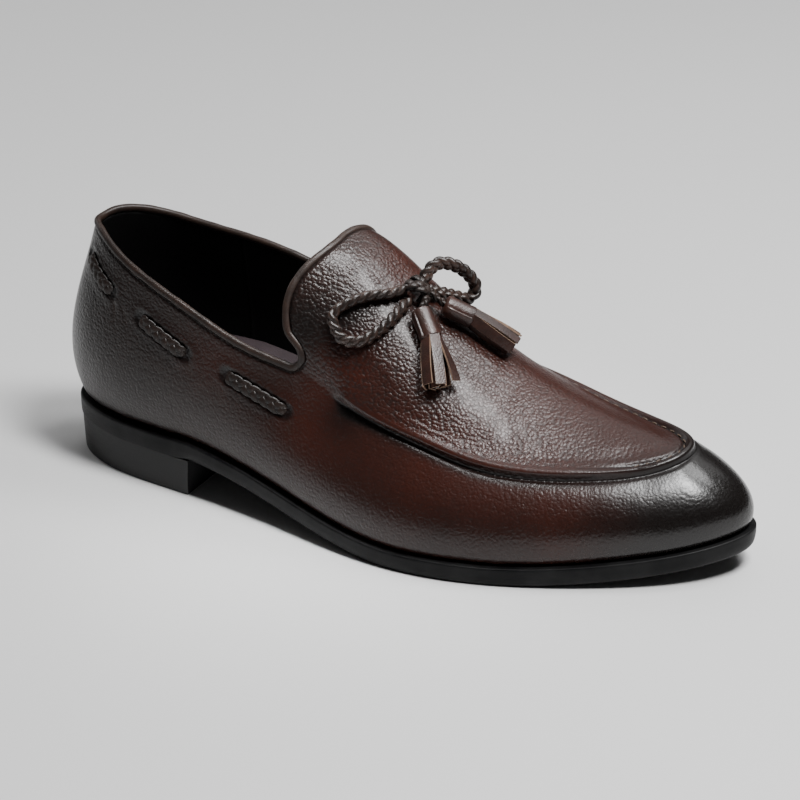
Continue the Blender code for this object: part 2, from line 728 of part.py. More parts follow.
def main():
    """Build every piece from an empty scene."""
    for piece in list(bpy.data.objects):
        bpy.data.objects.remove(piece, do_unlink=True)
    leather = add_material("brown_leather", (0.045, 0.022, 0.017), 0.42)
    sole = add_material("black_sole", (0.008, 0.008, 0.008), 0.4)
    lining = add_material("dark_lining", (0.02, 0.014, 0.018), 0.7)
    build_sole(sole)
    build_heel(sole)
    build_insole(lining)
    build_upper(leather)
    build_binding(leather)
    build_bars(leather)
    knot = build_bow(leather)
    for name, neck, *places in TASSELS:
        build_tassel(name, knot + np.array(neck), places, leather)


if __name__ == "__main__":
    main()
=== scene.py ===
"""Tassel loafer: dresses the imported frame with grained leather, braids, tassels, stitches and a stage.

Stations run forward from the back of the sole, sides from lateral (minus) to medial (plus) and heights
up from the floor. Tables and surface functions are in millimetres; to_frame turns them into metres.
"""

import bmesh
import bpy
import numpy as np
from mathutils import Matrix


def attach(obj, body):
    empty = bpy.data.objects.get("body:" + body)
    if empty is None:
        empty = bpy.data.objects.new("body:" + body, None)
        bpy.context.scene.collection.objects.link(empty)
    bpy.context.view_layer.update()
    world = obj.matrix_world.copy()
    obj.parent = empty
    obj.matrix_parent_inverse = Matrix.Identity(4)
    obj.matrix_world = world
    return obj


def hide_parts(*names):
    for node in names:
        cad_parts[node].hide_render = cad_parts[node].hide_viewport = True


bl_info = {
    "name": "Tassel Loafer",
    "version": (1, 0, 0),
    "blender": (4, 5, 0),
    "location": "View3D > Sidebar > Loafer",
    "description": "Builds the visible pieces of a tassel loafer over its packed frame",
    "category": "Object",
}

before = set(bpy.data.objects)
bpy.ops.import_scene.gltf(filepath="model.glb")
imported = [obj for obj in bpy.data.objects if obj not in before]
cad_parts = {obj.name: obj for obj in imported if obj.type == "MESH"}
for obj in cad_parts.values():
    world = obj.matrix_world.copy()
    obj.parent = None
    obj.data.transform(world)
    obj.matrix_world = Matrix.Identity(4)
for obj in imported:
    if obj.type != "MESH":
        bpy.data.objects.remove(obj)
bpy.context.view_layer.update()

MM = 0.001
HALF_TURN = np.pi
TURN = 2.0 * np.pi
BODY = "root"
# Colour of the painted shade in the seam's grooves, along its step, under the binding and round the bar slots
CREVICE_SHADE = (0.004, 0.003, 0.003, 1.0)

# Stage: angle of an open beam in degrees, the camera's sensor, the point it faces, the floor's half side
WIDE = 180.0
SENSOR_WIDTH = 36.0
CAMERA_AIM = (147.0, 0.0, 45.0)
FLOOR_REACH = 6.0

# Counts: points round the collar, along the apron and across it, then steps of the other pieces
LEATHER_GRID = (330, 110, 71)
LINING_GRID = (140, 44, 31)
BINDING_STEPS = 620
LOOP_STEPS = 260
BAR_STEPS = 150
SOLE_STEPS = 360
INSOLE_STEPS = 180
HEEL_STEPS = 120
CAP_STEPS = 72
STRIP_STEPS = 18
BRAID_SIDES = 10
BINDING_SIDES = 18
STITCH_SIDES = 6
STITCH_STEPS = 7
WRAP_STEPS = 90
NECK_STEPS = 50
CREASE_STEPS = 24
SCUFF_STEPS = 16
CORNER_STEPS = 1200
GROOVE_STEPS = 900
HEIGHT_STEPS = 401
SECTION_STEPS = 161
POINT_BLOCK = 3000

# Inside: stations of the cross seams, gaps to the leather, lengths down to the lining's upper rows
LINING_SEAM = 62.0
LINING_GAP = 0.15
LINING_ROWS = (0.0, 1.5, 4.0, 8.0, 14.0, 21.0)
INSOLE_SEAM = 135.0
INSOLE_GAP = 0.6

# Sheets: start, end and count of the leather's upper rows, counts of the lower rows, the apron's share with
# close rows at the toe, one row in how many lies there, and how even the columns are
SEAM_ROWS = ((0.0, 5.6, 17), (6.4, 24.0, 20))
LEATHER_LOWER_ROWS = 17
LINING_LOWER_ROWS = 9
TOE_BAND = 0.045
TOE_ROWS = 8
EVEN_SHARE = 0.25

# Seam: reach of its profile, the step's height over the roll's, shares of its length where the groove
# comes in, half width of the even leather along it
SEAM_REACH = 12.0
STEP_HEIGHT = 1.3
GROOVE_START = (0.36, 0.46)
SEAM_QUIET = 5.0

# Edges: dip at the binding (depth, distance, half width), turned-in foot (depth, height), drawn corner
EDGE_DIP = (0.25, 0.3, 0.8)
FOOT_TURN = 1.3
FOOT_ROLL = 3.0
CORNER_PULL = 1.4

# Slow waves of the leather: height, lengths, divisor of their sum, seed of their directions
UNEVENNESS = 0.14
WAVES = (34.0, 27.0, 21.0, 16.0, 12.0, 9.0)
WAVE_SCALE = 2.5
WAVE_SEED = 11

# Slots by the distance from a bar's line: depth and side of the bed, height, middle and half width of the
# lip, start, end and depth of the shade, what the ends add to its depth and reach
SLOT_DEPTH = 0.5
SLOT_SIDE = (2.3, 3.2)
LIP_HEIGHT = 0.16
LIP_BELL = (4.3, 1.6)
SHADE_START = 2.9
SHADE_END = 4.0
SHADE_DEPTH = 0.75
END_DEPTH = 0.2
END_REACH = 0.4

# How far from its middle a line on the leather is felt
BAR_REACH = 26.0
CREASE_REACH = 45.0
SCUFF_REACH = 20.0

# Lace bars: value in the middle, drop at the ends, power of the drop
BAR_LIFT = (0.7, 1.5, 12)
BAR_HEIGHT = (2.3, 1.5, 8)
BAR_TAPER = (1.0, 0.4, 10)

# Marks on the leather: distances from the seam, or stations, where they come or go
GATHER_RISE = (1.5, 4.0)
GATHER_FALL = (6.0, 14.0)
GATHER_STATIONS = (170.0, 215.0)
QUIET_STATIONS = (150.0, 190.0)
GRAIN_CHANGE = (-6.0, 6.0)
BURNISH_CHANGE = (-1.0, 5.0)

# Seam's bead, shade at the binding (strength, half width), strengths of grain, dark and red, gathers
BEAD_OFFSET = 1.2
BEAD_WIDTH = 1.7
BEAD_WIDENING = 0.2
BINDING_SHADE = (0.8, 0.9)
WALL_GRAIN = 0.34
APRON_GRAIN = 0.85
QUIET_LOSS = 0.16
LEAST_GRAIN = 0.2
FULL_GRAIN = 1.1
FINE_GRAIN = 0.5
FINE_QUIET_LOSS = 0.55
MOST_DARK = 0.95
APRON_BURNISH = 0.65
RED_EVERYWHERE = 0.12
RED_BEAD = 0.5
WORN_DEPTH = 0.2
GATHER_LENGTH = 1.1
GATHER_REACH = 6.0

SEAM_BANDS = {
    # bands along the seam: strength, distance from the seam (minus on the apron), half width
    # the grooves and the step foot are painted shade, the step shade a painted shadow below the seam; the
    # quiet grain only eases the grain
    "apron groove": (1.0, -2.4, 0.8),
    "wall groove": (1.0, 2.4, 0.7),
    "step foot": (0.95, 1.5, 0.9),
    "step shade": (0.75, 3.4, 2.4),
    "quiet grain": (1.0, 7.0, 8.0),
}

# Braids: height over width, then a strand's half sizes over the braid's sizes and its squareness
BRAID_FLATNESS = 0.76
STRAND_WIDTH = 0.29
STRAND_HEIGHT = 0.30
STRAND_SQUARE = 2.3

# Knot: angle by which a wrap passes half a turn, how deep it sits, width, height and pitch over the bow's
WRAP_OVER = 0.7
WRAP_SINK = 0.6
WRAP_BRAID = (0.9, 0.55, 1.1)

# Tassels: shares of the neck inside knot and cap, width, height and pitch of its braid, depth of the cap's
# foot, the cap's lap (step over the radius, angle, lengths where it comes in)
NECK_TUCK = (0.25, 0.1)
NECK_BRAID = (3.2, 2.8, 8.5)
CAP_DEPTH = 1.4
LAP_STEP = 0.10
LAP_ANGLE = 0.6
LAP_FADE = (0.2, 1.6)

# Strips: length in the cap, bundle's width and height over a round one, even and eased share of the spread,
# belly, curl, crown of the inner and outer face
STRIP_TUCK = 1.2
BUNDLE_WIDTH = 1.05
BUNDLE_HEIGHT = 0.72
STRIP_SPREAD = (0.55, 0.45)
STRIP_BELLY = 0.5
STRIP_CURL = 0.7
STRIP_CROWN = (0.8, 1.25)

# Binding: half sizes, lift off the edge, proud by, squareness, slight waves (size, length, start angle)
BINDING_HALF_WIDTH = 1.4
BINDING_HALF_HEIGHT = 1.6
BINDING_LIFT = 1.45
BINDING_PROUD = 0.05
BINDING_SQUARE = 2.2
BINDING_WAVES = ((0.03, 13.0, 0.0), (0.02, 7.3, 1.0))

# Stitches: first and last station, radius, inset, depth, half length over the pitch, shape of the ends
STITCH_START = 262.0
STITCH_END = 138.0
STITCH_RADIUS = 0.3
STITCH_INSET = 2.2
STITCH_SINK = 0.12
STITCH_REACH = 0.26
STITCH_DIP = 0.35
STITCH_SLANT = 0.3
STITCH_FULLNESS = 1.05

# Frame: the station and the side that the part's origin stands over
ORIGIN = np.array([146.5, -4.4, 0.0])

# Sole and heel: sizes, then shares and powers of the waist's fall and the toe's spring
SOLE_LENGTH = 295.0
SOLE_THICKNESS = 7.8
HEEL_HEIGHT = 16.0
HEEL_BREAST = 68.0
TREAD_START = 172.0
TREAD_END = 206.0
TOE_SPRING = 9.5
INSOLE_THICKNESS = 2.2
GAP = 0.3
WAIST_EASE = 0.55
WAIST_SWEEP = 0.45
WAIST_POWER = 1.7
SPRING_POWER = 1.8

# Sole's lower edge: stations where it turns square over the heel, how square, its inset and height at most
SEAT_STATIONS = (HEEL_BREAST - 8.0, HEEL_BREAST + 2.0)
SEAT_SQUARE = 0.85
EDGE_INSET = 2.0
EDGE_HEIGHT = 4.0

# Heel's bevel and the angle of the edges that get it, then rise of the insole's arch and stations it spans
HEEL_BEVEL = 0.5
BEVEL_ANGLE = 50.0
ARCH_RISE = 17.0
ARCH_RISE_STATIONS = (24.0, 52.0)
ARCH_FALL_STATIONS = (100.0, 150.0)

# Upper
WALL_THICKNESS = 1.8
WELT = 2.4
WALL_FULLNESS = 0.39
CORNER_STATION = 121.0
APRON_FRONT_STATION = 272.0
THROAT_ROUND = 2.4
THROAT_BACK = 24.5
THROAT_FORWARD = 12.0
THROAT_CROWN = 0.15
THROAT_CORNER = 0.12
MEDIAL_ROUND = 0.3
THROAT_START = 0.35
THROAT_POWER = 1.3
FLANK_RISE = (0.0, 0.15)
FLANK_FALL = (0.5, 0.85)
SEAM_START = 132.0
SEAM_FULL = 142.0
BINDING_CORNER = 7.0
CORNER_REACH = 14.0

LATERAL_SECTIONS = (
    # station and side of the sole's edge, then top station, top side and top height of the wall,
    # then the wall's lean at its foot and at its top, in degrees
    (0.0, 0.5, 10.5, 0.5, 98.0, 22.0, 14.0),
    (15.0, -20.0, 19.5, -13.0, 97.0, 22.0, 13.0),
    (30.0, -26.5, 32.0, -20.5, 92.0, 20.0, 11.0),
    (48.0, -30.5, 49.0, -25.5, 85.5, 18.0, 9.0),
    (68.0, -33.5, 68.5, -28.5, 78.0, 16.0, 8.0),
    (95.0, -38.0, 96.0, -31.0, 68.0, 14.0, 9.0),
    (121.0, -44.5, 122.0, -31.5, 62.5, 14.0, 14.0),
    (150.0, -52.0, 151.5, -34.5, 54.0, 14.0, 26.0),
    (175.0, -55.0, 174.5, -36.0, 48.5, 14.0, 38.0),
    (200.0, -52.5, 196.5, -35.0, 43.0, 13.0, 46.0),
    (225.0, -45.0, 218.5, -29.5, 40.5, 13.0, 52.0),
    (250.0, -34.0, 241.0, -19.5, 40.5, 14.0, 56.0),
    (272.0, -21.5, 257.5, -8.5, 42.0, 18.0, 60.0),
    (288.0, -7.5, 266.0, 0.0, 44.5, 22.0, 62.0),
    (295.0, 8.0, 267.5, 8.0, 45.5, 24.0, 62.0),
)

MEDIAL_SECTIONS = (
    # the same columns; the first and the last row are the lateral table's
    (15.0, 22.0, 20.0, 15.0, 98.5, 22.0, 13.0),
    (30.0, 29.0, 32.0, 22.5, 95.0, 20.0, 11.0),
    (48.0, 32.0, 48.5, 26.5, 91.0, 18.0, 9.0),
    (68.0, 31.5, 68.0, 28.0, 88.0, 17.0, 7.0),
    (95.0, 28.5, 95.0, 28.0, 82.0, 22.0, 7.0),
    (121.0, 28.0, 121.0, 28.0, 73.0, 26.0, 10.0),
    (150.0, 32.0, 150.5, 29.0, 64.5, 24.0, 20.0),
    (175.0, 39.0, 177.0, 31.0, 58.0, 20.0, 30.0),
    (200.0, 45.0, 201.5, 31.5, 52.5, 17.0, 39.0),
    (225.0, 46.0, 223.0, 29.5, 48.0, 16.0, 48.0),
    (250.0, 40.5, 243.0, 25.0, 46.0, 17.0, 56.0),
    (272.0, 32.0, 257.0, 20.3, 45.5, 21.0, 60.0),
    (288.0, 21.5, 264.8, 14.6, 45.5, 24.0, 62.0),
)

RIDGE = (
    # station, side, height of the line down the middle of the tongue and the apron
    (123.0, 2.0, 109.5),
    (134.0, 2.0, 106.0),
    (145.0, 2.0, 98.5),
    (156.0, 2.0, 90.3),
    (172.0, 2.5, 80.0),
    (195.0, 3.5, 67.2),
    (220.0, 5.0, 56.6),
    (245.0, 6.5, 49.8),
    (268.0, 8.0, 45.6),
)

LACE_BARS = (
    # number, back station and height, front station and height
    (1, 10.0, 87.8, 28.3, 78.8),
    (2, 45.2, 72.0, 67.4, 62.2),
    (3, 86.8, 57.6, 115.0, 48.7),
)

BOW_KNOT = (-0.08, 0.785, 4.4)

LATERAL_LOOP = (
    # across and back on the apron, lift of the cord's middle over it
    (-0.20, 0.812, 3.6),
    (-0.32, 0.828, 2.9),
    (-0.47, 0.860, 2.7),
    (-0.61, 0.887, 2.7),
    (-0.70, 0.903, 2.7),
    (-0.77, 0.910, 2.7),
    (-0.81, 0.900, 2.7),
    (-0.83, 0.883, 2.7),
    (-0.81, 0.863, 2.7),
    (-0.76, 0.840, 2.7),
    (-0.67, 0.820, 2.7),
    (-0.54, 0.802, 2.7),
    (-0.39, 0.792, 2.7),
    (-0.25, 0.786, 2.9),
)

MEDIAL_LOOP = (
    # forward, to the medial side and up from the knot's middle
    (0.6, 4.0, 2.9),
    (1.2, 7.2, 5.6),
    (3.0, 11.5, 7.2),
    (6.5, 15.5, 6.0),
    (10.0, 19.5, 2.4),
    (12.5, 22.0, -2.0),
    (13.5, 22.5, -6.0),
    (12.3, 20.5, -9.0),
    (9.5, 16.5, -7.8),
    (6.5, 11.0, -4.9),
    (2.0, 4.7, -1.9),
)

TASSELS = (
    # name, the neck's start from the knot's middle (forward, medial, up),
    # then across, back and lift at the cap's top, at the strips' root and at the strips' ends
    ("lateral", (5.1, -3.3, -2.1), (-0.27, 0.753, 5.3), (-0.42, 0.700, 5.2), (-0.71, 0.650, 4.4)),
    ("medial", (6.4, 0.8, -1.4), (-0.02, 0.717, 5.6), (0.09, 0.652, 5.4), (0.15, 0.534, 5.0)),
)

SEAM_ROLL = (
    # seam from the toe on along the medial side, a roll outside a stitched groove:
    # distance from the seam (minus on the apron, plus on the wall), height for a seam one high
    (-12.0, 0.0),
    (-5.0, 0.0),
    (-3.4, -0.06),
    (-2.5, -0.38),
    (-2.0, -0.2),
    (-1.4, 0.5),
    (-0.7, 0.92),
    (0.1, 1.0),
    (0.8, 0.88),
    (1.4, 0.52),
    (1.8, 0.12),
    (2.2, -0.2),
    (2.7, -0.32),
    (3.6, -0.12),
    (5.2, 0.0),
    (12.0, 0.0),
)

SEAM_STEP = (
    # seam along the lateral side, the apron's edge standing over the wall: the same columns
    (-12.0, 0.0),
    (-8.0, 0.03),
    (-5.6, 0.2),
    (-4.3, 0.38),
    (-3.6, 0.36),
    (-3.0, 0.5),
    (-2.3, 0.85),
    (-1.4, 1.04),
    (-0.4, 1.0),
    (0.2, 0.86),
    (0.6, 0.45),
    (1.0, -0.05),
    (1.5, -0.38),
    (2.1, -0.46),
    (3.0, -0.26),
    (4.6, -0.06),
    (7.0, 0.0),
    (12.0, 0.0),
)

SOLE_EDGE = (
    # inset from the outline, height over the sole's underside
    (6.0, 0.0),
    (1.9, 0.0),
    (1.3, 0.25),
    (0.85, 0.8),
    (0.5, 1.7),
    (0.2, 3.2),
    (0.05, 4.6),
    (0.06, 5.5),
    (0.0, 6.2),
    (0.0, 7.1),
    (0.14, 7.5),
    (0.45, 7.74),
    (1.0, 7.8),
    (7.0, 7.8),
)

RED_FIELDS = (
    # where red shows through the finish: station, side, height, reach, strength
    (190.0, -50.0, 34.0, 42.0, 1.0),
    (232.0, -40.0, 30.0, 26.0, 0.8),
    (126.0, -42.0, 47.0, 18.0, 0.7),
    (136.0, -30.0, 68.0, 13.0, 1.2),
    (82.0, -33.0, 62.0, 14.0, 0.5),
    (150.0, 14.0, 97.0, 20.0, 1.0),
    (212.0, 14.0, 60.0, 34.0, 0.9),
    (252.0, 5.0, 50.0, 18.0, 0.8),
    (190.0, 42.0, 34.0, 42.0, 1.0),
    (119.0, 29.0, 47.0, 22.0, 0.8),
    (76.0, 31.0, 64.0, 18.0, 0.6),
)

SHADE_AND_DARK_FIELDS = (
    # where the leather is painted darker: station, side, height, reach, strength
    # the first two are painted shade on the tongue's flanks by the throat's corners, the fourth a painted
    # shadow under the lateral loop; the rest darken the wall at the seam's start, the quarters near the
    # collar and the walls towards the sole
    (122.0, -30.0, 84.0, 15.0, 0.9),
    (124.0, 27.0, 86.0, 15.0, 0.6),
    (140.0, -38.0, 52.0, 9.0, 0.7),
    (138.0, -20.0, 88.0, 7.0, 0.5),
    (40.0, -28.0, 76.0, 26.0, 0.4),
    (40.0, 28.0, 76.0, 26.0, 0.4),
    (160.0, -44.0, 18.0, 20.0, 0.45),
    (190.0, -50.0, 16.0, 18.0, 0.6),
    (220.0, -48.0, 16.0, 18.0, 0.6),
    (160.0, 36.0, 18.0, 20.0, 0.45),
    (190.0, 43.0, 16.0, 18.0, 0.6),
    (220.0, 45.0, 16.0, 18.0, 0.6),
)

SMOOTH_FIELDS = (
    # where the grain is pressed flat: station, side, height, reach, strength
    (222.0, 18.0, 58.0, 36.0, 0.35),
    (250.0, 4.0, 50.0, 24.0, 0.35),
    (152.0, 16.0, 96.0, 18.0, 0.25),
)

SATIN_FIELDS = (
    # where the finish is duller: station, side, height, reach, strength
    (238.0, -6.0, 47.0, 24.0, 0.6),
    (256.0, 5.0, 46.0, 18.0, 0.7),
    (224.0, 18.0, 54.0, 30.0, 0.9),
)

LOOP_ROLL = (
    # turn of the braid about its line, in degrees, at the start, middle and end of each loop
    (70.0, 85.0, 75.0),
    (10.0, 80.0, 25.0),
)

SCUFFS = (
    # pale rubbed creases of the quarters: depth, half width, then station and height of their points
    (0.25, 0.8, ((29.0, 78.0), (31.0, 73.0), (31.5, 67.0))),
    (0.22, 0.9, ((68.0, 62.0), (70.0, 57.0), (69.0, 52.0))),
    (0.15, 0.7, ((34.0, 75.0), (37.0, 71.0), (38.0, 66.0))),
    (0.2, 0.9, ((115.0, 48.0), (118.0, 44.0), (117.0, 39.0))),
)

TASSEL_STRIPS = (
    # strips of the lateral tassel, then of the medial one: angle round the axis in degrees,
    # radius in the cap and at the end, share of the length, width over the strip width,
    # turn about its own line in degrees
    ((98.0, 3.2, 4.6, 1.0, 1.05, 4.0),
     (38.0, 3.2, 4.9, 0.97, 1.05, -6.0),
     (150.0, 3.1, 7.4, 0.93, 0.95, 38.0),
     (-22.0, 3.2, 4.6, 1.0, 1.0, 8.0),
     (-85.0, 3.2, 3.6, 0.98, 1.0, 0.0),
     (-150.0, 3.2, 4.8, 0.96, 1.0, -10.0),
     (68.0, 1.7, 2.2, 1.03, 0.9, 20.0),
     (190.0, 1.6, 2.6, 0.99, 0.85, -15.0),
     (-50.0, 1.6, 2.2, 1.02, 0.9, 10.0)),
    ((84.0, 3.2, 4.7, 1.0, 1.05, -4.0),
     (28.0, 3.2, 5.0, 0.98, 1.05, 8.0),
     (136.0, 3.2, 5.3, 1.0, 1.0, 10.0),
     (176.0, 3.1, 6.0, 0.96, 0.9, -24.0),
     (-30.0, 3.2, 4.4, 0.95, 1.0, -6.0),
     (-95.0, 3.2, 3.4, 1.0, 1.0, 0.0),
     (110.0, 1.8, 2.8, 1.02, 0.85, 24.0),
     (20.0, 1.6, 2.4, 1.0, 0.85, -18.0),
     (-130.0, 1.8, 3.2, 0.98, 0.9, 6.0)),
)

KNOT_WRAPS = (
    # reach along the wrap, height, start to the medial side, twist in radians
    (4.8, 3.9, -1.5, 0.25),
    (4.4, 3.3, 1.3, -0.5),
)

CAP_TOP = (
    # radius, length down from the cap's top
    (0.3, 0.0),
    (1.6, -0.25),
    (3.2, 0.05),
    (3.95, 0.6),
    (4.2, 1.5),
    (4.25, 4.0),
)

CAP_FOOT = (
    # radius, length down from the strips' root
    (4.3, -2.6),
    (4.42, -0.8),
    (4.35, -0.1),
    (4.0, 0.15),
    (3.3, 0.0),
    (3.1, -1.2),
    (0.3, -CAP_DEPTH),
)

HEEL_EDGE = (
    # inset from the outline, setback from the breast, height
    (6.0, 5.0, 0.0),
    (1.6, 1.6, 0.0),
    (1.3, 1.3, 0.3),
    (1.15, 1.1, 1.0),
    (0.85, 0.7, 8.0),
    (0.6, 0.2, HEEL_HEIGHT - GAP),
    (5.0, 5.0, HEEL_HEIGHT - GAP),
)

INSOLE_EDGE = (
    # inset from the insole's outline, share of its thickness, share of the arch's rise
    (0.0, 0.0, 0.0),
    (0.0, 0.8, 1.0),
    (0.5, 1.0, 1.0),
    (5.0, 1.0, 0.75),
    (11.0, 1.0, 0.4),
)

LIGHTS = (
    # name, value of its power, place, the point it faces, size, spread of its beam in degrees
    ("front_softbox", "front_power", (0.48, -0.13, 1.05), (0.05, 0.0, 0.03), (0.36, 0.22), WIDE),
    ("tongue_spot", "tongue_power", (-0.035, -0.015, 0.34), (-0.028, -0.01, 0.1), (0.09, 0.1), 50.0),
    ("fill_softbox", "fill_power", (0.48, 0.38, 1.05), (0.05, 0.0, 0.03), (0.36, 0.34), WIDE),
    ("back_softbox", "back_power", (-0.05, 0.85, 1.05), (0.0, 0.0, 0.05), (1.3, 0.8), WIDE),
    ("side_softbox", "side_power", (-1.0, 0.25, 0.6), (-0.1, 0.0, 0.05), (0.6, 0.8), WIDE),
)

CREASES = (
    # soft troughs of the apron: depth, half width, then across and back of their points
    (0.35, 3.0, ((-0.75, 0.60), (-0.40, 0.63), (-0.05, 0.62))),
    (0.30, 3.0, ((0.20, 0.60), (0.50, 0.64), (0.80, 0.62))),
    (0.25, 2.4, ((-0.82, 0.44), (-0.45, 0.47), (0.0, 0.46))),
    (0.22, 2.2, ((0.25, 0.36), (0.55, 0.40), (0.85, 0.39))),
    (0.40, 3.2, ((-0.97, 0.93), (-0.90, 0.84), (-0.88, 0.74))),
    (0.40, 3.2, ((0.97, 0.93), (0.90, 0.84), (0.88, 0.74))),
)


# Sizes, colours and stage values a user would change
def length_property(name, description, millimetres):
    """A length in metres, given in millimetres."""
    return bpy.props.FloatProperty(name=name, description=description, default=millimetres * MM,
                                   min=0.0, precision=5, subtype="DISTANCE", unit="LENGTH")


def colour_property(name, description, *colour):
    """A linear colour."""
    return bpy.props.FloatVectorProperty(name=name, description=description, default=colour,
                                         size=3, min=0.0, max=1.0, subtype="COLOR")


def angle_property(name, description, degrees):
    """An angle, given in degrees."""
    return bpy.props.FloatProperty(name=name, description=description, default=np.radians(degrees),
                                   subtype="ANGLE", unit="ROTATION")


def power_property(name, description, watts):
    """A light's power."""
    return bpy.props.FloatProperty(name=name, description=description, default=watts,
                                   min=0.0, subtype="POWER")


class LoaferSizes(bpy.types.PropertyGroup):
    """Sizes of the sewn and braided detail."""

    seam_height: length_property("Seam height", "Height of the raised seam round the apron", 1.7)
    leather_thickness: length_property("Leather thickness", "Thickness of the upper's leather", 1.1)
    lining_thickness: length_property("Lining thickness", "Thickness of the lining", 0.5)
    grain_depth: length_property("Grain depth", "Depth of the leather's pebble grain", 0.3)
    stitch_pitch: length_property("Stitch pitch", "Length from stitch to stitch in the seam's groove", 4.8)
    braid_width: length_property("Braid width", "Width of the bow's braid", 5.6)
    bar_width: length_property("Bar width", "Width of the braided bars on the sides", 6.0)
    braid_pitch: length_property("Braid pitch", "Length of one full turn of a strand in the bow", 11.5)
    bar_pitch: length_property("Bar pitch", "Length of one full turn of a strand in the bars", 13.5)
    strip_width: length_property("Strip width", "Width of a tassel's strip", 3.9)
    strip_thickness: length_property("Strip thickness", "Thickness of a tassel's strip", 0.7)


class LoaferColours(bpy.types.PropertyGroup):
    """Colours of the finishes."""

    leather: colour_property("Leather", "Brown of the upper's leather", 0.0140, 0.0074, 0.0060)
    leather_red: colour_property("Leather, red", "Red-brown showing through", 0.040, 0.0100, 0.0062)
    # the same near black is what the painted shade and shadow of the dark mark and between braid strands
    # darken to
    leather_dark: colour_property("Leather, burnished", "Near black of toe and heel", 0.0046, 0.0039, 0.0036)
    binding: colour_property("Binding", "Taupe of the strip round the opening", 0.025, 0.0142, 0.0105)
    lace: colour_property("Lace", "Brown of the bow's braids", 0.052, 0.030, 0.023)
    # a darker copy of the lace's brown: painted shade on the bars in their slots, on the knot and on the
    # necks
    bar: colour_property("Bar", "Darker brown of the bars, the knot and the necks", 0.022, 0.0138, 0.0112)
    tassel: colour_property("Tassel", "Red-brown of the tassels", 0.035, 0.0132, 0.0092)
    raw_edge: colour_property("Raw edge", "Tan of the strips' cut edges", 0.30, 0.205, 0.145)
    thread: colour_property("Thread", "Tan of the seam's thread", 0.13, 0.085, 0.055)
    twist: colour_property("Twist", "Dark brown between the thread's twists", 0.03, 0.018, 0.012)
    sole: colour_property("Sole", "Black of the sole", 0.003, 0.003, 0.0033)
    # lighter than the sole's black: painted reflection of the floor on the heel; also the colour of the
    # sole's rubbed patches
    heel: colour_property("Heel", "Black of the heel, and of the sole where rubbed", 0.027, 0.0267, 0.0267)
    lining: colour_property("Lining", "Black of the lining", 0.0022, 0.0020, 0.0024)
    insole: colour_property("Insole", "Purple brown of the insole", 0.044, 0.032, 0.0355)


class LoaferStage(bpy.types.PropertyGroup):
    """Camera, light and floor."""

    floor: colour_property("Floor", "Colour of the floor", 0.72, 0.72, 0.72)
    floor_patch: colour_property("Floor, patches", "Colour of the floor's faint patches", 0.62, 0.62, 0.62)
    lens: bpy.props.FloatProperty(name="Lens", description="Focal length in millimetres on a 36 mm sensor",
                                  default=165.4, min=1.0)
    distance: length_property("Distance", "From the camera to the shoe's middle", 1450.0)
    azimuth: angle_property("Azimuth", "Camera's angle round the shoe", 28.06)
    elevation: angle_property("Elevation", "Camera's angle over the floor", 25.0)
    roll: angle_property("Roll", "Camera's tilt about its own axis", -1.0)
    front_power: power_property("Front light", "Power of the softbox over the toe", 18.5)
    tongue_power: power_property("Tongue light", "Power of the narrow light over the tongue", 0.09)
    fill_power: power_property("Fill light", "Power of the softbox on the medial side", 5.5)
    back_power: power_property("Back light", "Power of the softbox behind", 5.0)
    side_power: power_property("Side light", "Power of the light at the heel's side", 2.2)
    ambient: bpy.props.FloatProperty(name="Ambient", description="Strength of the light from all round",
                                     default=0.05, min=0.0)


# Curves
def turn_of(station):
    """Angle round the outline at a station, from nothing at the heel to half a turn at the toe."""
    return np.arccos(np.clip(1.0 - 2.0 * np.asarray(station, float) / SOLE_LENGTH, -1.0, 1.0))


def station_of(turn):
    """Station of the sole's outline at an angle round it."""
    return SOLE_LENGTH / 2.0 * (1.0 - np.cos(turn))


def smooth_step(value, low, high):
    """Cubic ease from nothing at low to one at high."""
    share = np.clip((np.asarray(value, float) - low) / (high - low), 0.0, 1.0)
    return share * share * (3.0 - 2.0 * share)


def hump(value, middle, half_width, power=2):
    """Bell one high: e to minus a power of the distance from its middle over its half width."""
    return np.exp(-((value - middle) / half_width) ** power)


def smooth_curve(knots, values, period=None):
    """Cubic curve with continuous bending through the knots, closed when a period is given."""
    knots = np.asarray(knots, float)
    values = np.asarray(values, float)
    if period:
        knots = np.append(knots, knots[0] + period)
        values = np.append(values, values[0])
    count = len(knots)
    step = np.diff(knots)
    slope = np.diff(values) / step
    matrix = np.zeros((count, count))
    right = np.zeros(count)
    inner = np.arange(1, count - 1)
    matrix[inner, inner - 1] = step[:-1]
    matrix[inner, inner] = 2.0 * (step[:-1] + step[1:])
    matrix[inner, inner + 1] = step[1:]
    right[inner] = 6.0 * np.diff(slope)
    if period:
        matrix[0, 0] = 2.0 * (step[0] + step[-1])
        matrix[0, 1] = step[0]
        matrix[0, count - 2] = step[-1]
        right[0] = 6.0 * (slope[0] - slope[-1])
        matrix[-1, 0] = 1.0
        matrix[-1, -1] = -1.0
    else:
        matrix[0, 0] = 1.0
        matrix[-1, -1] = 1.0
    bend = np.linalg.solve(matrix, right)

    def curve(at):
        at = np.asarray(at, float)
        if period:
            at = (at - knots[0]) % period + knots[0]
        i = np.clip(np.searchsorted(knots, at, side="right") - 1, 0, count - 2)
        back = (knots[i + 1] - at) / step[i]
        front = 1.0 - back
        cubic = (back ** 3 - back) * bend[i] + (front ** 3 - front) * bend[i + 1]
        return back * values[i] + front * values[i + 1] + cubic * step[i] ** 2 / 6.0

    return curve


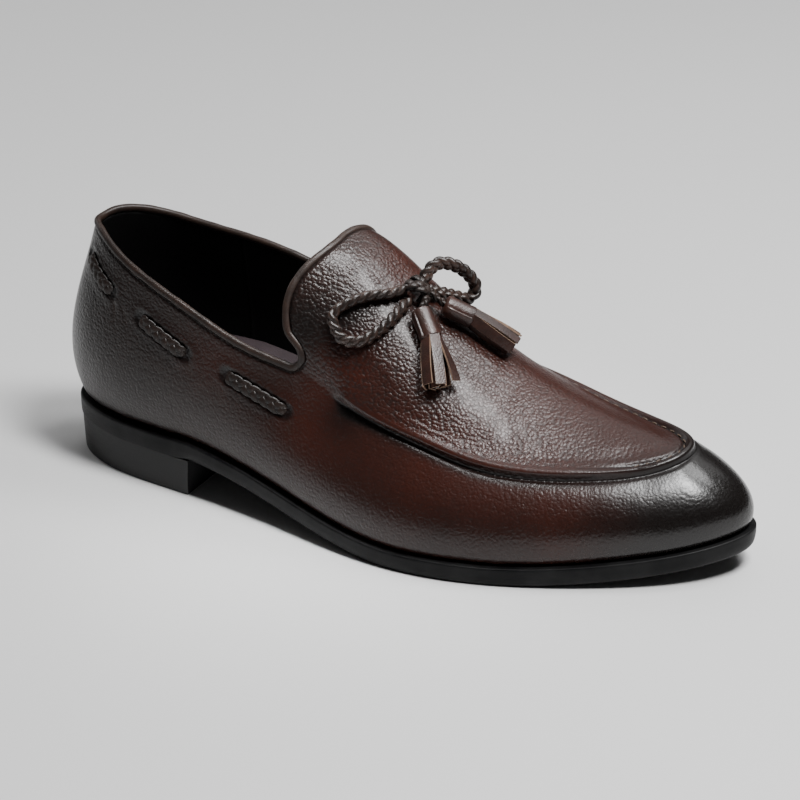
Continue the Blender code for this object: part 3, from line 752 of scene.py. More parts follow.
def curve_around(column):
    """Closed curve through one column of both section tables, by the angle round the outline."""
    lateral = np.array(LATERAL_SECTIONS)
    medial = np.array(MEDIAL_SECTIONS)[::-1]
    knots = np.concatenate([turn_of(lateral[:, 0]), TURN - turn_of(medial[:, 0])])
    return smooth_curve(knots, np.concatenate([lateral[:, column], medial[:, column]]), TURN)


side_around = curve_around(1)
top_station_around = curve_around(2)
top_side_around = curve_around(3)
top_height_around = curve_around(4)
foot_lean_around = curve_around(5)
top_lean_around = curve_around(6)
ridge_side = smooth_curve(np.array(RIDGE)[:, 0], np.array(RIDGE)[:, 1])
ridge_height = smooth_curve(np.array(RIDGE)[:, 0], np.array(RIDGE)[:, 2])
seam_roll = smooth_curve(*np.array(SEAM_ROLL).T)
seam_step = smooth_curve(*np.array(SEAM_STEP).T)


def unit(vectors):
    """The vectors at length one."""
    return vectors / np.maximum(np.linalg.norm(vectors, axis=-1, keepdims=True), 1e-12)


def along_path(path, closed=False):
    """Unit tangents of a path."""
    if closed:
        return unit(np.roll(path, -1, axis=0) - np.roll(path, 1, axis=0))
    return unit(np.gradient(path, axis=0))


def square_to(vectors, tangent):
    """Unit vectors turned square to the tangents."""
    return unit(vectors - (vectors * tangent).sum(-1, keepdims=True) * tangent)


def lengths_along(path):
    """Length of a path up to each of its points."""
    return np.append(0.0, np.cumsum(np.linalg.norm(np.diff(path, axis=0), axis=1)))


def smooth_path(points, count):
    """Open smooth path through the points, at even steps of length."""
    points = np.asarray(points, float)
    knots = lengths_along(points)
    at = np.linspace(0.0, knots[-1], count)
    return np.stack([smooth_curve(knots, column)(at) for column in points.T], -1)


def distance_to_path(points, path):
    """Distance of each point to a path of straight steps, and the share of a step index where it is least."""
    start = path[:-1]
    step = np.diff(path, axis=0)
    size = (step ** 2).sum(-1)
    far = []
    place = []
    for block in np.array_split(points, len(points) // POINT_BLOCK + 1):
        off = block[:, None] - start
        share = np.clip((off * step).sum(-1) / size, 0.0, 1.0)
        gap = np.linalg.norm(off - share[..., None] * step, axis=-1)
        least = gap.argmin(1)
        row = np.arange(len(block))
        far.append(gap[row, least])
        place.append(least + share[row, least])
    return np.concatenate(far), np.concatenate(place)


# Surfaces of the shoe
def outline(turn, inset=0.0):
    """Plan of the sole moved in by an inset along its own normal, and the outward normal."""
    small = 1e-4
    along = SOLE_LENGTH / 2.0 * np.sin(turn)
    across = (side_around(turn + small) - side_around(turn - small)) / (2.0 * small)
    normal = unit(np.stack([across, -along], -1))
    plan = np.stack([station_of(turn), side_around(turn)], -1)
    return plan - normal * np.asarray(inset, float)[..., None], normal


def tread_height(station):
    """Underside of the sole: level heel seat, falling waist, flat tread and toe spring."""
    waist = np.clip((TREAD_START - station) / (TREAD_START - HEEL_BREAST), 0.0, 1.0)
    spring = np.clip((station - TREAD_END) / (SOLE_LENGTH - TREAD_END), 0.0, 1.0)
    fall = WAIST_EASE * waist ** 2 * (3.0 - 2.0 * waist) + WAIST_SWEEP * waist ** WAIST_POWER
    return HEEL_HEIGHT * fall + TOE_SPRING * spring ** SPRING_POWER


def over_sole(plan, lift):
    """Points over a plan, at a lift above the top of the sole."""
    height = tread_height(plan[..., 0]) + SOLE_THICKNESS + lift
    return np.concatenate([plan, height[..., None]], -1)


def top_line(turn):
    """Top of the upper's wall: the collar behind the throat, the apron's seam in front of it."""
    return np.stack([top_station_around(turn), top_side_around(turn), top_height_around(turn)], -1)


def lean_direction(turn, degrees):
    """Direction up the wall, leaning out from upright by the given degrees."""
    out = outline(turn)[1] * np.sin(np.radians(degrees))[..., None]
    return np.concatenate([out, np.cos(np.radians(degrees))[..., None]], -1)


def wall(turn, rise):
    """Wall of the upper: each section is a cubic from the feather line (rise 0) to the top line (rise 1)."""
    foot = over_sole(outline(turn, WELT)[0], GAP)
    top = top_line(turn)
    reach = WALL_FULLNESS * np.linalg.norm(top - foot, axis=-1, keepdims=True)
    low = foot + reach * lean_direction(turn, foot_lean_around(turn))
    high = top - reach * lean_direction(turn, -top_lean_around(turn))
    rise = np.asarray(rise, float)[..., None]
    fall = 1.0 - rise
    return fall ** 3 * foot + 3.0 * fall ** 2 * rise * low + 3.0 * fall * rise ** 2 * high + rise ** 3 * top


def apron_turns(across, back):
    """Angles of the top line at the lateral and medial ends of an apron row, and along its front."""
    front = turn_of(APRON_FRONT_STATION)
    side = front + (turn_of(CORNER_STATION) - front) * back
    return side, TURN - side, front + (TURN - 2.0 * front) * (across + 1.0) / 2.0


def round_spread(spread):
    """Shares across the throat that step evenly round its arch."""
    return np.sign(spread) * np.abs(np.sin(HALF_TURN / 2.0 * spread)) ** (2.0 / THROAT_ROUND)


def throat_swing(across, back):
    """How far rows near the throat swing along the shoe: back laterally, forward medially."""
    bow = np.clip(1.0 - across ** 2, 0.0, None)
    lateral = -THROAT_BACK * across ** 2 * smooth_step(bow, 0.0, THROAT_CORNER) * back ** 5
    medial = THROAT_FORWARD * across ** 2 / (np.abs(across) + THROAT_CROWN) * back ** 8
    return np.where(across < 0.0, lateral, medial) * np.sqrt(bow)


def apron(across, back):
    """Apron and tongue: rows arch from lateral (across -1) to medial (1), from the toe's seam (back 0) to
    the throat (back 1). A row is its chord plus an arch up to the ridge; the first row is the seam itself."""
    across, back = np.broadcast_arrays(np.asarray(across, float), np.asarray(back, float))
    lateral_turn, medial_turn, front_turn = apron_turns(across, back)
    lateral = top_line(lateral_turn)
    medial = top_line(medial_turn)
    share = (across[..., None] + 1.0) / 2.0
    tip = top_line(np.array(HALF_TURN))
    station = tip[0] + (RIDGE[0][0] - tip[0]) * back
    side = ridge_side(station) + (tip[1] - ridge_side(tip[0])) * (1.0 - back) ** 2
    height = ridge_height(station) + (tip[2] - ridge_height(tip[0])) * (1.0 - back) ** 4
    lift = np.stack([station, side, height], -1) - (lateral + medial) / 2.0
    bow = np.clip(1.0 - across ** 2, 0.0, None)
    blend = np.clip((back - THROAT_START) / (1.0 - THROAT_START), 0.0, 1.0) ** THROAT_POWER
    power = 2.0 + (THROAT_ROUND - 2.0) * blend
    straight = (np.hypot(across, MEDIAL_ROUND) - MEDIAL_ROUND) / (np.hypot(1.0, MEDIAL_ROUND) - MEDIAL_ROUND)
    flat = smooth_step(back, *FLANK_RISE) * (1.0 - smooth_step(back, *FLANK_FALL)) * (across > 0.0)
    fall = np.abs(across) ** power
    root = 1.0 + (1.0 / THROAT_ROUND - 1.0) * blend
    arch = np.clip(1.0 - fall - (straight - fall) * flat, 0.0, None) ** root
    shape = np.stack([bow, bow, arch], -1)
    point = (1.0 - share) * lateral + share * medial + shape * lift
    point[..., 0] += throat_swing(across, back)
    ends = [top_line(np.asarray(turn, float)) for turn in apron_turns(0.0, 0.0)[:2]]
    first = (1.0 - share) * ends[0] + share * ends[1] + bow[..., None] * (tip - (ends[0] + ends[1]) / 2.0)
    return point + (top_line(front_turn) - first) * ((1.0 - back) ** 4)[..., None]


def over_apron(across, back, lift):
    """Points standing over the apron by a lift along its normal, and that normal."""
    across = np.asarray(across, float)
    back = np.asarray(back, float)
    small = 1e-3
    along = apron(across, back - small) - apron(across, back + small)
    over = apron(across + small, back) - apron(across - small, back)
    normal = unit(np.cross(along, over))
    return apron(across, back) + normal * np.asarray(lift, float)[..., None], normal


def on_wall(turn, height):
    """Point of the wall at each height on each section, and the outward normal there."""
    rise = np.linspace(0.0, 1.0, HEIGHT_STEPS)
    sections = wall(turn[:, None] + 0.0 * rise, 0.0 * turn[:, None] + rise)
    at = np.array([np.interp(level, section[:, 2], rise) for level, section in zip(height, sections)])
    small = 1e-3
    up = wall(turn, at + small) - wall(turn, at - small)
    around = wall(turn + small, at) - wall(turn - small, at)
    return wall(turn, at), unit(np.cross(around, up))


# Meshes
def to_frame(points):
    """Station, side and height in millimetres to metres in the part's frame."""
    return (np.asarray(points, float) - ORIGIN) * MM


def grid_faces(index, closed=False):
    """Quads between the rows and columns of a grid of point numbers, its last column joined to its first."""
    index = np.asarray(index)
    if closed:
        index = np.concatenate([index, index[:, :1]], 1)
    corners = (index[:-1, :-1], index[:-1, 1:], index[1:, 1:], index[1:, :-1])
    return np.stack(corners, -1).reshape(-1, 4)


def grid_numbers(rows, columns, start=0):
    """Point numbers of a grid stored row by row."""
    return start + np.arange(rows * columns).reshape(rows, columns)


def fan_faces(ring, centre, turned=False):
    """Triangles from a ring of point numbers to one point."""
    ring = np.asarray(ring)
    after = np.roll(ring, -1)
    middle = np.full(len(ring), centre)
    order = (after, ring, middle) if turned else (ring, after, middle)
    return np.stack(order, -1)


def vertex_normals(points, quads):
    """Unit normal at each point: the sum over its quads of the cross product of their diagonals."""
    corner = points[quads]
    face = np.cross(corner[:, 2] - corner[:, 0], corner[:, 3] - corner[:, 1])
    total = np.zeros_like(points)
    for k in range(4):
        np.add.at(total, quads[:, k], face)
    return unit(total)


def add_piece(name, points, faces, material, slot, nodes=(), sharp=40.0, recalculate=True):
    """Mesh piece at the origin in the part's frame, riding on the body and standing for its nodes.

    Faces is one array of quads or several arrays of quads and triangles; material is a finish's name."""
    faces = faces if isinstance(faces, (list, tuple)) else [faces]
    mesh = bpy.data.meshes.new(name)
    mesh.from_pydata(to_frame(points).tolist(), [], [face for part in faces for face in part.tolist()])
    if recalculate:
        work = bmesh.new()
        work.from_mesh(mesh)
        bmesh.ops.recalc_face_normals(work, faces=work.faces)
        work.to_mesh(mesh)
        work.free()
    mesh.shade_smooth()
    if sharp:
        mesh.set_sharp_from_angle(angle=np.radians(sharp))
    mesh.materials.append(bpy.data.materials[material])
    piece = bpy.data.objects.new(name, mesh)
    bpy.context.scene.collection.objects.link(piece)
    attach(piece, BODY)
    if nodes:
        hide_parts(*nodes)
    return piece


def add_values(piece, name, values, kind="FLOAT", domain="POINT"):
    """Attribute on a piece's points or faces, floats or vectors, for its material to read."""
    data = piece.data.attributes.new(name, kind, domain)
    data.data.foreach_set("value" if kind == "FLOAT" else "vector", np.asarray(values, np.float32).ravel())


def capped_rings(rings, first, last):
    """Points and faces of a tube through rings of points, closed by a fan to one point at each end."""
    index = grid_numbers(*rings.shape[:2])
    points = np.concatenate([rings.reshape(-1, 3), [first, last]])
    ends = [fan_faces(index[0], index.size, True), fan_faces(index[-1], index.size + 1)]
    return points, [grid_faces(index, closed=True), *ends]


def tube(path, side, lift, half_width, half_height, sides, square=2.0, closed=False):
    """Points and faces of a tube: a rounded section carried along a path.

    The section is a superellipse, its half width along side and its half height along lift. An open tube
    is closed with a fan at each end."""
    angle = TURN * (np.arange(sides) + 0.5) / sides
    wide = np.sign(np.cos(angle)) * np.abs(np.cos(angle)) ** (2.0 / square)
    high = np.sign(np.sin(angle)) * np.abs(np.sin(angle)) ** (2.0 / square)
    half_width = np.broadcast_to(half_width, len(path))
    half_height = np.broadcast_to(half_height, len(path))
    rings = path[:, None] + (half_width[:, None] * wide)[..., None] * side[:, None]
    rings = rings + (half_height[:, None] * high)[..., None] * lift[:, None]
    if closed:
        index = grid_numbers(len(path), sides)
        return rings.reshape(-1, 3), [grid_faces(np.concatenate([index, index[:1]]), closed=True)]
    return capped_rings(rings, path[0], path[-1])


def join_parts(parts):
    """Points and faces of several parts as one."""
    start = 0
    points = []
    faces = []
    for part_points, part_faces in parts:
        points.append(part_points)
        faces += [face + start for face in part_faces]
        start += len(part_points)
    return np.concatenate(points), faces


def braid_strands(path, lift, width, height, pitch):
    """Three-strand braid along a path.

    Each strand swings across by a sine of the length and rises by the sine of twice that angle, a third of
    a turn after the one before, and is a flat rounded tube."""
    tangent = along_path(path)
    lift = square_to(lift, tangent)
    side = np.cross(tangent, lift)
    phase = TURN * lengths_along(path) / pitch
    half = STRAND_WIDTH * width
    thick = STRAND_HEIGHT * height
    strands = []
    for third in range(3):
        turn = phase + TURN * third / 3.0
        swing = (width / 2.0 - half) * np.sin(turn)
        rise = (height / 2.0 - thick) * np.sin(2.0 * turn)
        middle = path + side * swing[:, None] + lift * rise[:, None]
        run = along_path(middle)
        up = square_to(lift, run)
        strands.append(tube(middle, np.cross(run, up), up, half, thick, BRAID_SIDES, STRAND_SQUARE))
    return strands


# Shape of the upper
def upper_columns(rear_count, back_count, across_count):
    """Angles of the wall's columns, and the apron's across and back values, sharing the seam's points."""
    spread = np.linspace(-1.0, 1.0, across_count)
    close = np.linspace(0.0, TOE_BAND, max(back_count // TOE_ROWS, 3))
    back = np.concatenate([close[:-1], np.linspace(TOE_BAND, 1.0, back_count - len(close) + 1)])[:, None]
    even = EVEN_SHARE * spread + (1.0 - EVEN_SHARE) * np.sin(HALF_TURN / 2.0 * spread)
    across = even + (round_spread(spread) - even) * back ** 3
    lateral, medial, _ = apron_turns(0.0, back)
    front = apron_turns(even, 0.0)[2]
    corner = turn_of(CORNER_STATION)
    rear = np.linspace(-corner, corner, rear_count)
    turn = np.concatenate([rear[:-1], lateral[::-1, 0], front[1:-1], medial[:-1, 0]])
    return turn, across, back


def wall_rows(turn, close, rest):
    """Rise of each wall row on each section, its length down the section and the section's whole length.

    The rows near the top lie at given lengths down the section, the others at shares of the rest."""
    rise = np.linspace(1.0, 0.0, SECTION_STEPS)
    sections = wall(turn[:, None] + 0.0 * rise, 0.0 * turn[:, None] + rise)
    steps = np.linalg.norm(np.diff(sections, axis=1), axis=-1)
    length = np.concatenate([np.zeros((len(turn), 1)), np.cumsum(steps, 1)], 1)
    total = length[:, -1:]
    down = np.concatenate([close + 0.0 * total, close[-1] + (total - close[-1]) * rest], 1)
    return np.array([np.interp(row, section, rise) for row, section in zip(down, length)]), down, total


def upper_index(rear_count, back_count, across_count, rows):
    """Point numbers of the wall's grid, closed round the heel, and of the apron's, edged by the wall's."""
    columns = rear_count - 1 + back_count + across_count - 2 + back_count - 1
    wall_index = grid_numbers(columns, rows)
    apron_index = np.zeros((back_count, across_count), int)
    inner = (back_count - 1, across_count - 2)
    apron_index[1:, 1:-1] = grid_numbers(*inner, start=columns * rows)
    lateral = rear_count - 1
    front = lateral + back_count
    medial = front + across_count - 2
    apron_index[:, 0] = wall_index[lateral + back_count - 1 - np.arange(back_count), 0]
    apron_index[0, 1:-1] = wall_index[front:medial, 0]
    apron_index[:-1, -1] = wall_index[medial:, 0]
    apron_index[-1, -1] = wall_index[0, 0]
    return wall_index, apron_index


def opening_edge(turn, across, rear_count):
    """Edge of the foot opening: its points, the direction off the leather's edge, the outward normal and
    the length to the nearest corner where collar and throat meet."""
    small = 0.002
    collar_turn = np.append(turn[:rear_count - 1], turn[rear_count - 1])
    collar = top_line(collar_turn)
    collar_along = along_path(collar)
    collar_off = square_to(collar - wall(collar_turn, np.full(len(collar), 1.0 - small)), collar_along)
    throat = apron(across, 1.0)
    throat_along = along_path(throat)
    throat_off = square_to(throat - apron(across, 1.0 - small), throat_along)
    points = np.concatenate([collar, throat])
    off = np.concatenate([collar_off, throat_off])
    normal = unit(np.cross(off, np.concatenate([collar_along, throat_along])))
    outward = (normal[:, :2] * (points[:, :2] - points[:, :2].mean(0))).sum()
    ends = [lengths_along(collar), lengths_along(throat)]
    from_end = np.concatenate([np.minimum(length, length[-1] - length) for length in ends])
    return points, off, normal * np.sign(outward), from_end


def rounded_edge(points, off, normal, from_end):
    """Length of the opening's edge, and closed smooth curves of it, its off direction and its normal.

    The points within BINDING_CORNER of a corner are left out, so that the curves round it."""
    keep = from_end > BINDING_CORNER
    kept = points[keep]
    step = np.linalg.norm(np.roll(kept, -1, axis=0) - kept, axis=1)
    knots = np.append(0.0, np.cumsum(step)[:-1])
    total = step.sum()

    def through(values):
        curves = [smooth_curve(knots, column, total) for column in values[keep].T]
        return lambda at: np.stack([curve(at) for curve in curves], -1)

    return total, through(points), through(off), through(normal)


class UpperSheet:
    """Outer sheet of the upper as one mesh of quads, with what its relief and material need at each point."""

    def __init__(self, rear_count, back_count, across_count, close, rest):
        """Lay out wall and apron grids that share the seam, round the corners and roll the foot in."""
        turn, across, back = upper_columns(rear_count, back_count, across_count)
        rise, down, total = wall_rows(turn, close, rest)
        wall_grid = wall(turn[:, None] + 0.0 * rise, rise)
        apron_grid = apron(across, back)
        self.edge = opening_edge(turn, across[-1], rear_count)
        self.round_corners(wall_grid, apron_grid, down, rear_count)
        self.roll_foot(wall_grid, turn, total - down)
        wall_index, apron_index = upper_index(rear_count, back_count, across_count, wall_grid.shape[1])
        self.quads = np.concatenate([
            grid_faces(np.concatenate([wall_index, wall_index[:1]])), grid_faces(apron_index)])
        count = wall_index.size + (back_count - 1) * (across_count - 2)
        self.points = np.zeros((count, 3))
        self.points[apron_index] = apron_grid
        self.points[wall_index] = wall_grid
        self.normals = vertex_normals(self.points, self.quads)
        if (self.normals * (self.points - self.points.mean(0))).sum() < 0.0:
            self.quads = self.quads[:, ::-1]
            self.normals = -self.normals
        self.on_apron = np.ones(count, bool)
        self.on_apron[wall_index] = False
        seam_columns = np.arange(rear_count - 1, len(turn))
        self.seam = wall_grid[seam_columns, 0]
        station = station_of(turn[seam_columns])
        self.seam_share = smooth_step(station, SEAM_START, SEAM_FULL)
        self.set_seam(wall_index, down, seam_columns)
        throat = np.concatenate([wall_grid[:rear_count, 0], apron_grid[-1, 1:-1]])
        self.from_edge = distance_to_path(self.points, np.concatenate([throat, throat[:1]]))[0]

    def round_corners(self, wall_grid, apron_grid, down, rear_count):
        """Draw the sheet's edge near the throat's corners onto the rounded edge, fading away from it."""
        points, _, _, from_end = self.edge
        length, at_edge, _, _ = rounded_edge(*self.edge)
        curve = at_edge(np.linspace(0.0, length, CORNER_STEPS))
        pull = np.zeros_like(points)
        near = from_end < BINDING_CORNER * CORNER_PULL
        gaps = np.linalg.norm(points[near][:, None] - curve, axis=-1)
        pull[near] = curve[gaps.argmin(1)] - points[near]
        collar = pull[:rear_count]
        throat = pull[rear_count:]
        fade = 1.0 - smooth_step(down, 0.0, CORNER_REACH)
        columns = np.zeros((len(wall_grid), 3))
        columns[:rear_count] = collar
        seam = wall_grid[rear_count - 1:, 0]
        from_lateral = np.linalg.norm(seam - seam[0], axis=-1)
        from_medial = np.linalg.norm(seam - wall_grid[0, 0], axis=-1)
        columns[rear_count - 1:] = (
            collar[-1] * (1.0 - smooth_step(from_lateral, 0.0, CORNER_REACH))[:, None]
            + collar[0] * (1.0 - smooth_step(from_medial, 0.0, CORNER_REACH))[:, None])
        apron_far = np.linalg.norm(apron_grid - apron_grid[-1:], axis=-1)
        throat[0] = collar[-1]
        throat[-1] = collar[0]
        wall_grid += columns[:, None] * fade[..., None]
        apron_grid += throat * (1.0 - smooth_step(apron_far, 0.0, CORNER_REACH))[..., None]

    def roll_foot(self, wall_grid, turn, from_foot):
        """Turn the wall's foot in under itself, so that a narrow shadow shows over the sole."""
        turn_in = FOOT_TURN * (1.0 - np.clip(from_foot / FOOT_ROLL, 0.0, 1.0)) ** 2
        wall_grid[..., :2] -= outline(turn)[1][:, None] * turn_in[..., None]

    def set_seam(self, wall_index, down, seam_columns):
        """Signed distance from the seam (minus on the apron), length along it and its share at each point."""
        far, place = distance_to_path(self.points, self.seam)
        self.seam_far = np.where(self.on_apron, -far, far)
        self.seam_far[wall_index[seam_columns]] = down[seam_columns]
        step = np.arange(len(self.seam))
        self.along = np.interp(place, step, lengths_along(self.seam))
        self.share = np.interp(place, step, self.seam_share)
        self.share[wall_index[seam_columns]] = self.seam_share[:, None]
        self.along[wall_index[seam_columns]] = lengths_along(self.seam)[:, None]


def undulation(points):
    """Slow unevenness of the leather: a sum of sines along fixed directions, about one high."""
    draw = np.random.default_rng(WAVE_SEED)
    total = np.zeros(len(points))
    for wave in WAVES:
        direction = unit(draw.normal(size=3))
        total += np.sin(points @ direction * TURN / wave + draw.uniform(0.0, TURN)) * wave / WAVES[0]
    return total / WAVE_SCALE


def bar_path(number, medial, count=60):
    """Line on the wall under a lace bar, and the wall's normal along it."""
    share = np.linspace(0.0, 1.0, count)
    _, back_station, back_height, front_station, front_height = LACE_BARS[number - 1]
    turn = turn_of(back_station) + (turn_of(front_station) - turn_of(back_station)) * share
    height = back_height + (front_height - back_height) * share
    return on_wall(TURN - turn if medial else turn, height)


def near_lines(points, lines, reach, effect):
    """Sum over lines of an effect on the points within reach of a line's middle.

    The effect is a function of the distance to the line, the share along it and the line's own values."""
    total = np.zeros(len(points))
    for path, *values in lines:
        near = np.linalg.norm(points - path.mean(0), axis=-1) < reach
        far, place = distance_to_path(points[near], path)
        total[near] += effect(far, place / (len(path) - 1), *values)
    return total


def bar_lines():
    """Lines under the six lace bars."""
    return [(bar_path(bar[0], medial)[0],) for bar in LACE_BARS for medial in (False, True)]


def slot_relief(points):
    """Slots for the lace bars: a sunk bed with a raised lip round it."""
    def slot(far, _):
        bed = -SLOT_DEPTH * (1.0 - smooth_step(far, *SLOT_SIDE))
        return bed + LIP_HEIGHT * hump(far, *LIP_BELL)

    return near_lines(points, bar_lines(), BAR_REACH, slot)


def slot_shade(points):
    """Shade in the slots: a dark line round the braid, deepest where its ends go under the leather."""
    def shade(far, share):
        ends = np.abs(share * 2.0 - 1.0) ** 8
        depth = SHADE_DEPTH + END_DEPTH * ends
        return depth * (1.0 - smooth_step(far, SHADE_START, SHADE_END + END_REACH * ends))

    return near_lines(points, bar_lines(), BAR_REACH, shade)


def trough(far, share, depth, half_width):
    """Depth of a trough along a line: a bell across it, a half sine along it."""
    return depth * np.sin(HALF_TURN * np.clip(share, 0.0, 1.0)) * hump(far, 0.0, half_width)


def crease_relief(points):
    """Depth of the apron's soft creases."""
    lines = [(apron(*smooth_path(places, CREASE_STEPS).T), depth, half) for depth, half, places in CREASES]
    return near_lines(points, lines, CREASE_REACH, trough)


def scuff_relief(points):
    """Depth of the pale rubbed creases on both sides."""
    lines = []
    for depth, half_width, places in SCUFFS:
        station, height = smooth_path(places, SCUFF_STEPS).T
        turn = turn_of(station)
        lines += [(on_wall(at, height)[0], depth, half_width) for at in (turn, TURN - turn)]
    return near_lines(points, lines, SCUFF_REACH, trough)


def fields(points, table):
    """Sum of soft round fields: each its strength times a bell of the distance over its reach."""
    total = np.zeros(len(points))
    for station, side, height, reach, strength in table:
        far = np.linalg.norm(points - np.array([station, side, height]), axis=-1)
        total += strength * hump(far, 0.0, reach)
    return total


# Materials
class Wiring:
    """Adds nodes to a tree, setting their sockets by value or by a link."""

    def __init__(self, tree):
        """Work on one node tree."""
        self.tree = tree

    def add(self, kind, inputs=None, **settings):
        """A node with settings, its inputs given as values or as other nodes' sockets."""
        node = self.tree.nodes.new(kind)
        for name, value in settings.items():
            setattr(node, name, value)
        for socket, value in (inputs or {}).items():
            self.put(node.inputs[socket], value)
        return node

    def put(self, target, value):
        """Link or set one socket."""
        if isinstance(value, bpy.types.NodeSocket):
            self.tree.links.new(value, target)
        else:
            target.default_value = value

    def fill(self, node, **values):
        """Link or set a node's inputs, named with underscores for spaces."""
        for socket, value in values.items():
            self.put(node.inputs[socket.replace("_", " ")], value)

    def math(self, operation, first, second=0.0, clamp=False):
        """Result of a Math node."""
        node = self.add("ShaderNodeMath", {0: first, 1: second}, operation=operation, use_clamp=clamp)
        return node.outputs[0]

    def times(self, first, second, clamp=False):
        """Product of two values."""
        return self.math("MULTIPLY", first, second, clamp)

    def plus(self, first, second):
        """Sum of two values."""
        return self.math("ADD", first, second)

    def minus(self, first, second, clamp=False):
        """Difference of two values."""
        return self.math("SUBTRACT", first, second, clamp)

    def rise(self, start, value, amount):
        """Start plus an amount of a value."""
        return self.plus(start, self.times(value, amount))

    def ramp(self, value, low, high, start=0.0, end=1.0):
        """Smooth change from start at low to end at high."""
        ends = {"Value": value, "From Min": low, "From Max": high, "To Min": start, "To Max": end}
        return self.add("ShaderNodeMapRange", ends, interpolation_type="SMOOTHSTEP").outputs["Result"]

    def mix(self, share, first, second):
        """Colour between two colours."""
        node = self.add("ShaderNodeMix", data_type="RGBA", blend_type="MIX")
        for socket, value in ((0, share), (6, first), (7, second)):
            self.put(node.inputs[socket], value)
        return node.outputs[2]

    def place(self):
        """Place in the object's own coordinates."""
        return self.add("ShaderNodeTexCoord").outputs["Object"]

    def attribute(self, name):
        """Float attribute of the piece."""
        return self.add("ShaderNodeAttribute", attribute_name=name).outputs["Fac"]

    def noise(self, vector, scale, detail=2.0, roughness=0.5):
        """Noise value at a place."""
        values = {"Vector": vector, "Scale": scale, "Detail": detail, "Roughness": roughness}
        return self.add("ShaderNodeTexNoise", values).outputs["Fac"]

    def vector(self, operation, first, second, socket=1):
        """Result of a Vector Math node."""
        return self.add("ShaderNodeVectorMath", {0: first, socket: second}, operation=operation).outputs[0]

    def group(self, name, **inputs):
        """Outputs of one of the shared node groups, its inputs set by name."""
        node = self.tree.nodes.new("ShaderNodeGroup")
        node.node_tree = bpy.data.node_groups[name]
        self.fill(node, **inputs)
        return node.outputs


def new_group(name, inputs, outputs):
    """Empty shader node group with named float inputs and outputs, its wiring and its two end nodes."""
    tree = bpy.data.node_groups.new(name, "ShaderNodeTree")
    for socket, value in inputs.items():
        tree.interface.new_socket(socket, in_out="INPUT", socket_type="NodeSocketFloat").default_value = value
    for socket in outputs:
        tree.interface.new_socket(socket, in_out="OUTPUT", socket_type="NodeSocketFloat")
    wiring = Wiring(tree)
    return wiring, wiring.add("NodeGroupInput").outputs, wiring.add("NodeGroupOutput")


def make_pebble_group():
    """Pebble grain: rounded cells and larger folds parted by valleys, with fine pores over them.

    A pebble is one less the square of the distance from its cell's middle, and a fold is a dome over the
    distance from a larger cell's edge."""
    w, given, out = new_group("pebble_grain", {"Cell": 740.0, "Wander": 0.0011}, ("Height", "Valley"))
    place = w.place()
    drift = w.add("ShaderNodeTexNoise", {"Vector": place, "Scale": 260.0, "Detail": 2.0}).outputs["Color"]
    centred = w.vector("SUBTRACT", drift, (0.5, 0.5, 0.5))
    moved = w.vector("ADD", place, w.vector("SCALE", centred, given["Wander"], "Scale"))
    cell = w.add("ShaderNodeTexVoronoi", {"Vector": moved, "Scale": given["Cell"]}).outputs["Distance"]
    large = w.add("ShaderNodeTexVoronoi", {"Vector": moved, "Scale": w.times(given["Cell"], 0.46)},
                  feature="DISTANCE_TO_EDGE").outputs["Distance"]
    apart = w.math("DIVIDE", cell, 0.8, clamp=True)
    pebble = w.minus(1.0, w.times(apart, apart))
    inward = w.math("DIVIDE", large, 0.26, clamp=True)
    fold = w.times(inward, w.minus(2.0, inward))
    body = w.plus(w.times(pebble, 0.86), w.times(fold, 0.14))
    w.fill(out, Height=w.rise(body, w.noise(place, 3200.0), 0.07), Valley=w.ramp(body, 0.2, 0.65, 1.0, 0.0))


def make_burnish_group():
    """Burnish: dark towards the toe and towards the heel, with an uneven edge, by the object's length."""
    w, given, out = new_group("burnish", {"Toe Start": 0.06, "Toe End": 0.13, "Heel Start": -0.05,
                                          "Heel End": -0.14, "Unevenness": 0.05}, ("Toe", "Heel"))
    place = w.place()
    length = w.add("ShaderNodeSeparateXYZ", {0: place}).outputs[0]
    patch = w.minus(w.noise(place, 38.0, 4.0, 0.6), 0.5)
    uneven = w.rise(length, patch, given["Unevenness"])
    w.fill(out, Toe=w.ramp(uneven, given["Toe Start"], given["Toe End"]),
           Heel=w.ramp(uneven, given["Heel Start"], given["Heel End"]))


def make_mottle_group():
    """Mottle: cloudy patches of hand-rubbed colour, and fine speckle."""
    w, given, out = new_group("mottle", {"Patch": 45.0, "Speck": 900.0}, ("Cloud", "Fine"))
    place = w.place()
    w.fill(out, Cloud=w.ramp(w.noise(place, given["Patch"], 4.0, 0.55), 0.36, 0.66),
           Fine=w.ramp(w.noise(place, given["Speck"], 3.0, 0.6), 0.3, 0.7))


def new_material(name, **values):
    """Wiring and shader of a new Principled material with constant sockets set."""
    material = bpy.data.materials.new(name)
    material.use_nodes = True
    w = Wiring(material.node_tree)
    shader = material.node_tree.nodes["Principled BSDF"]
    w.fill(shader, **values)
    return w, shader


def solid(colour):
    """Colour with full alpha."""
    return (*colour, 1.0)


def bump(w, shader, height, depth):
    """Bump a shader's normal by a height of nothing to one, at a depth in metres."""
    node = w.add("ShaderNodeBump", {"Height": height, "Distance": depth, "Strength": 1.0})
    w.fill(shader, Normal=node.outputs["Normal"])


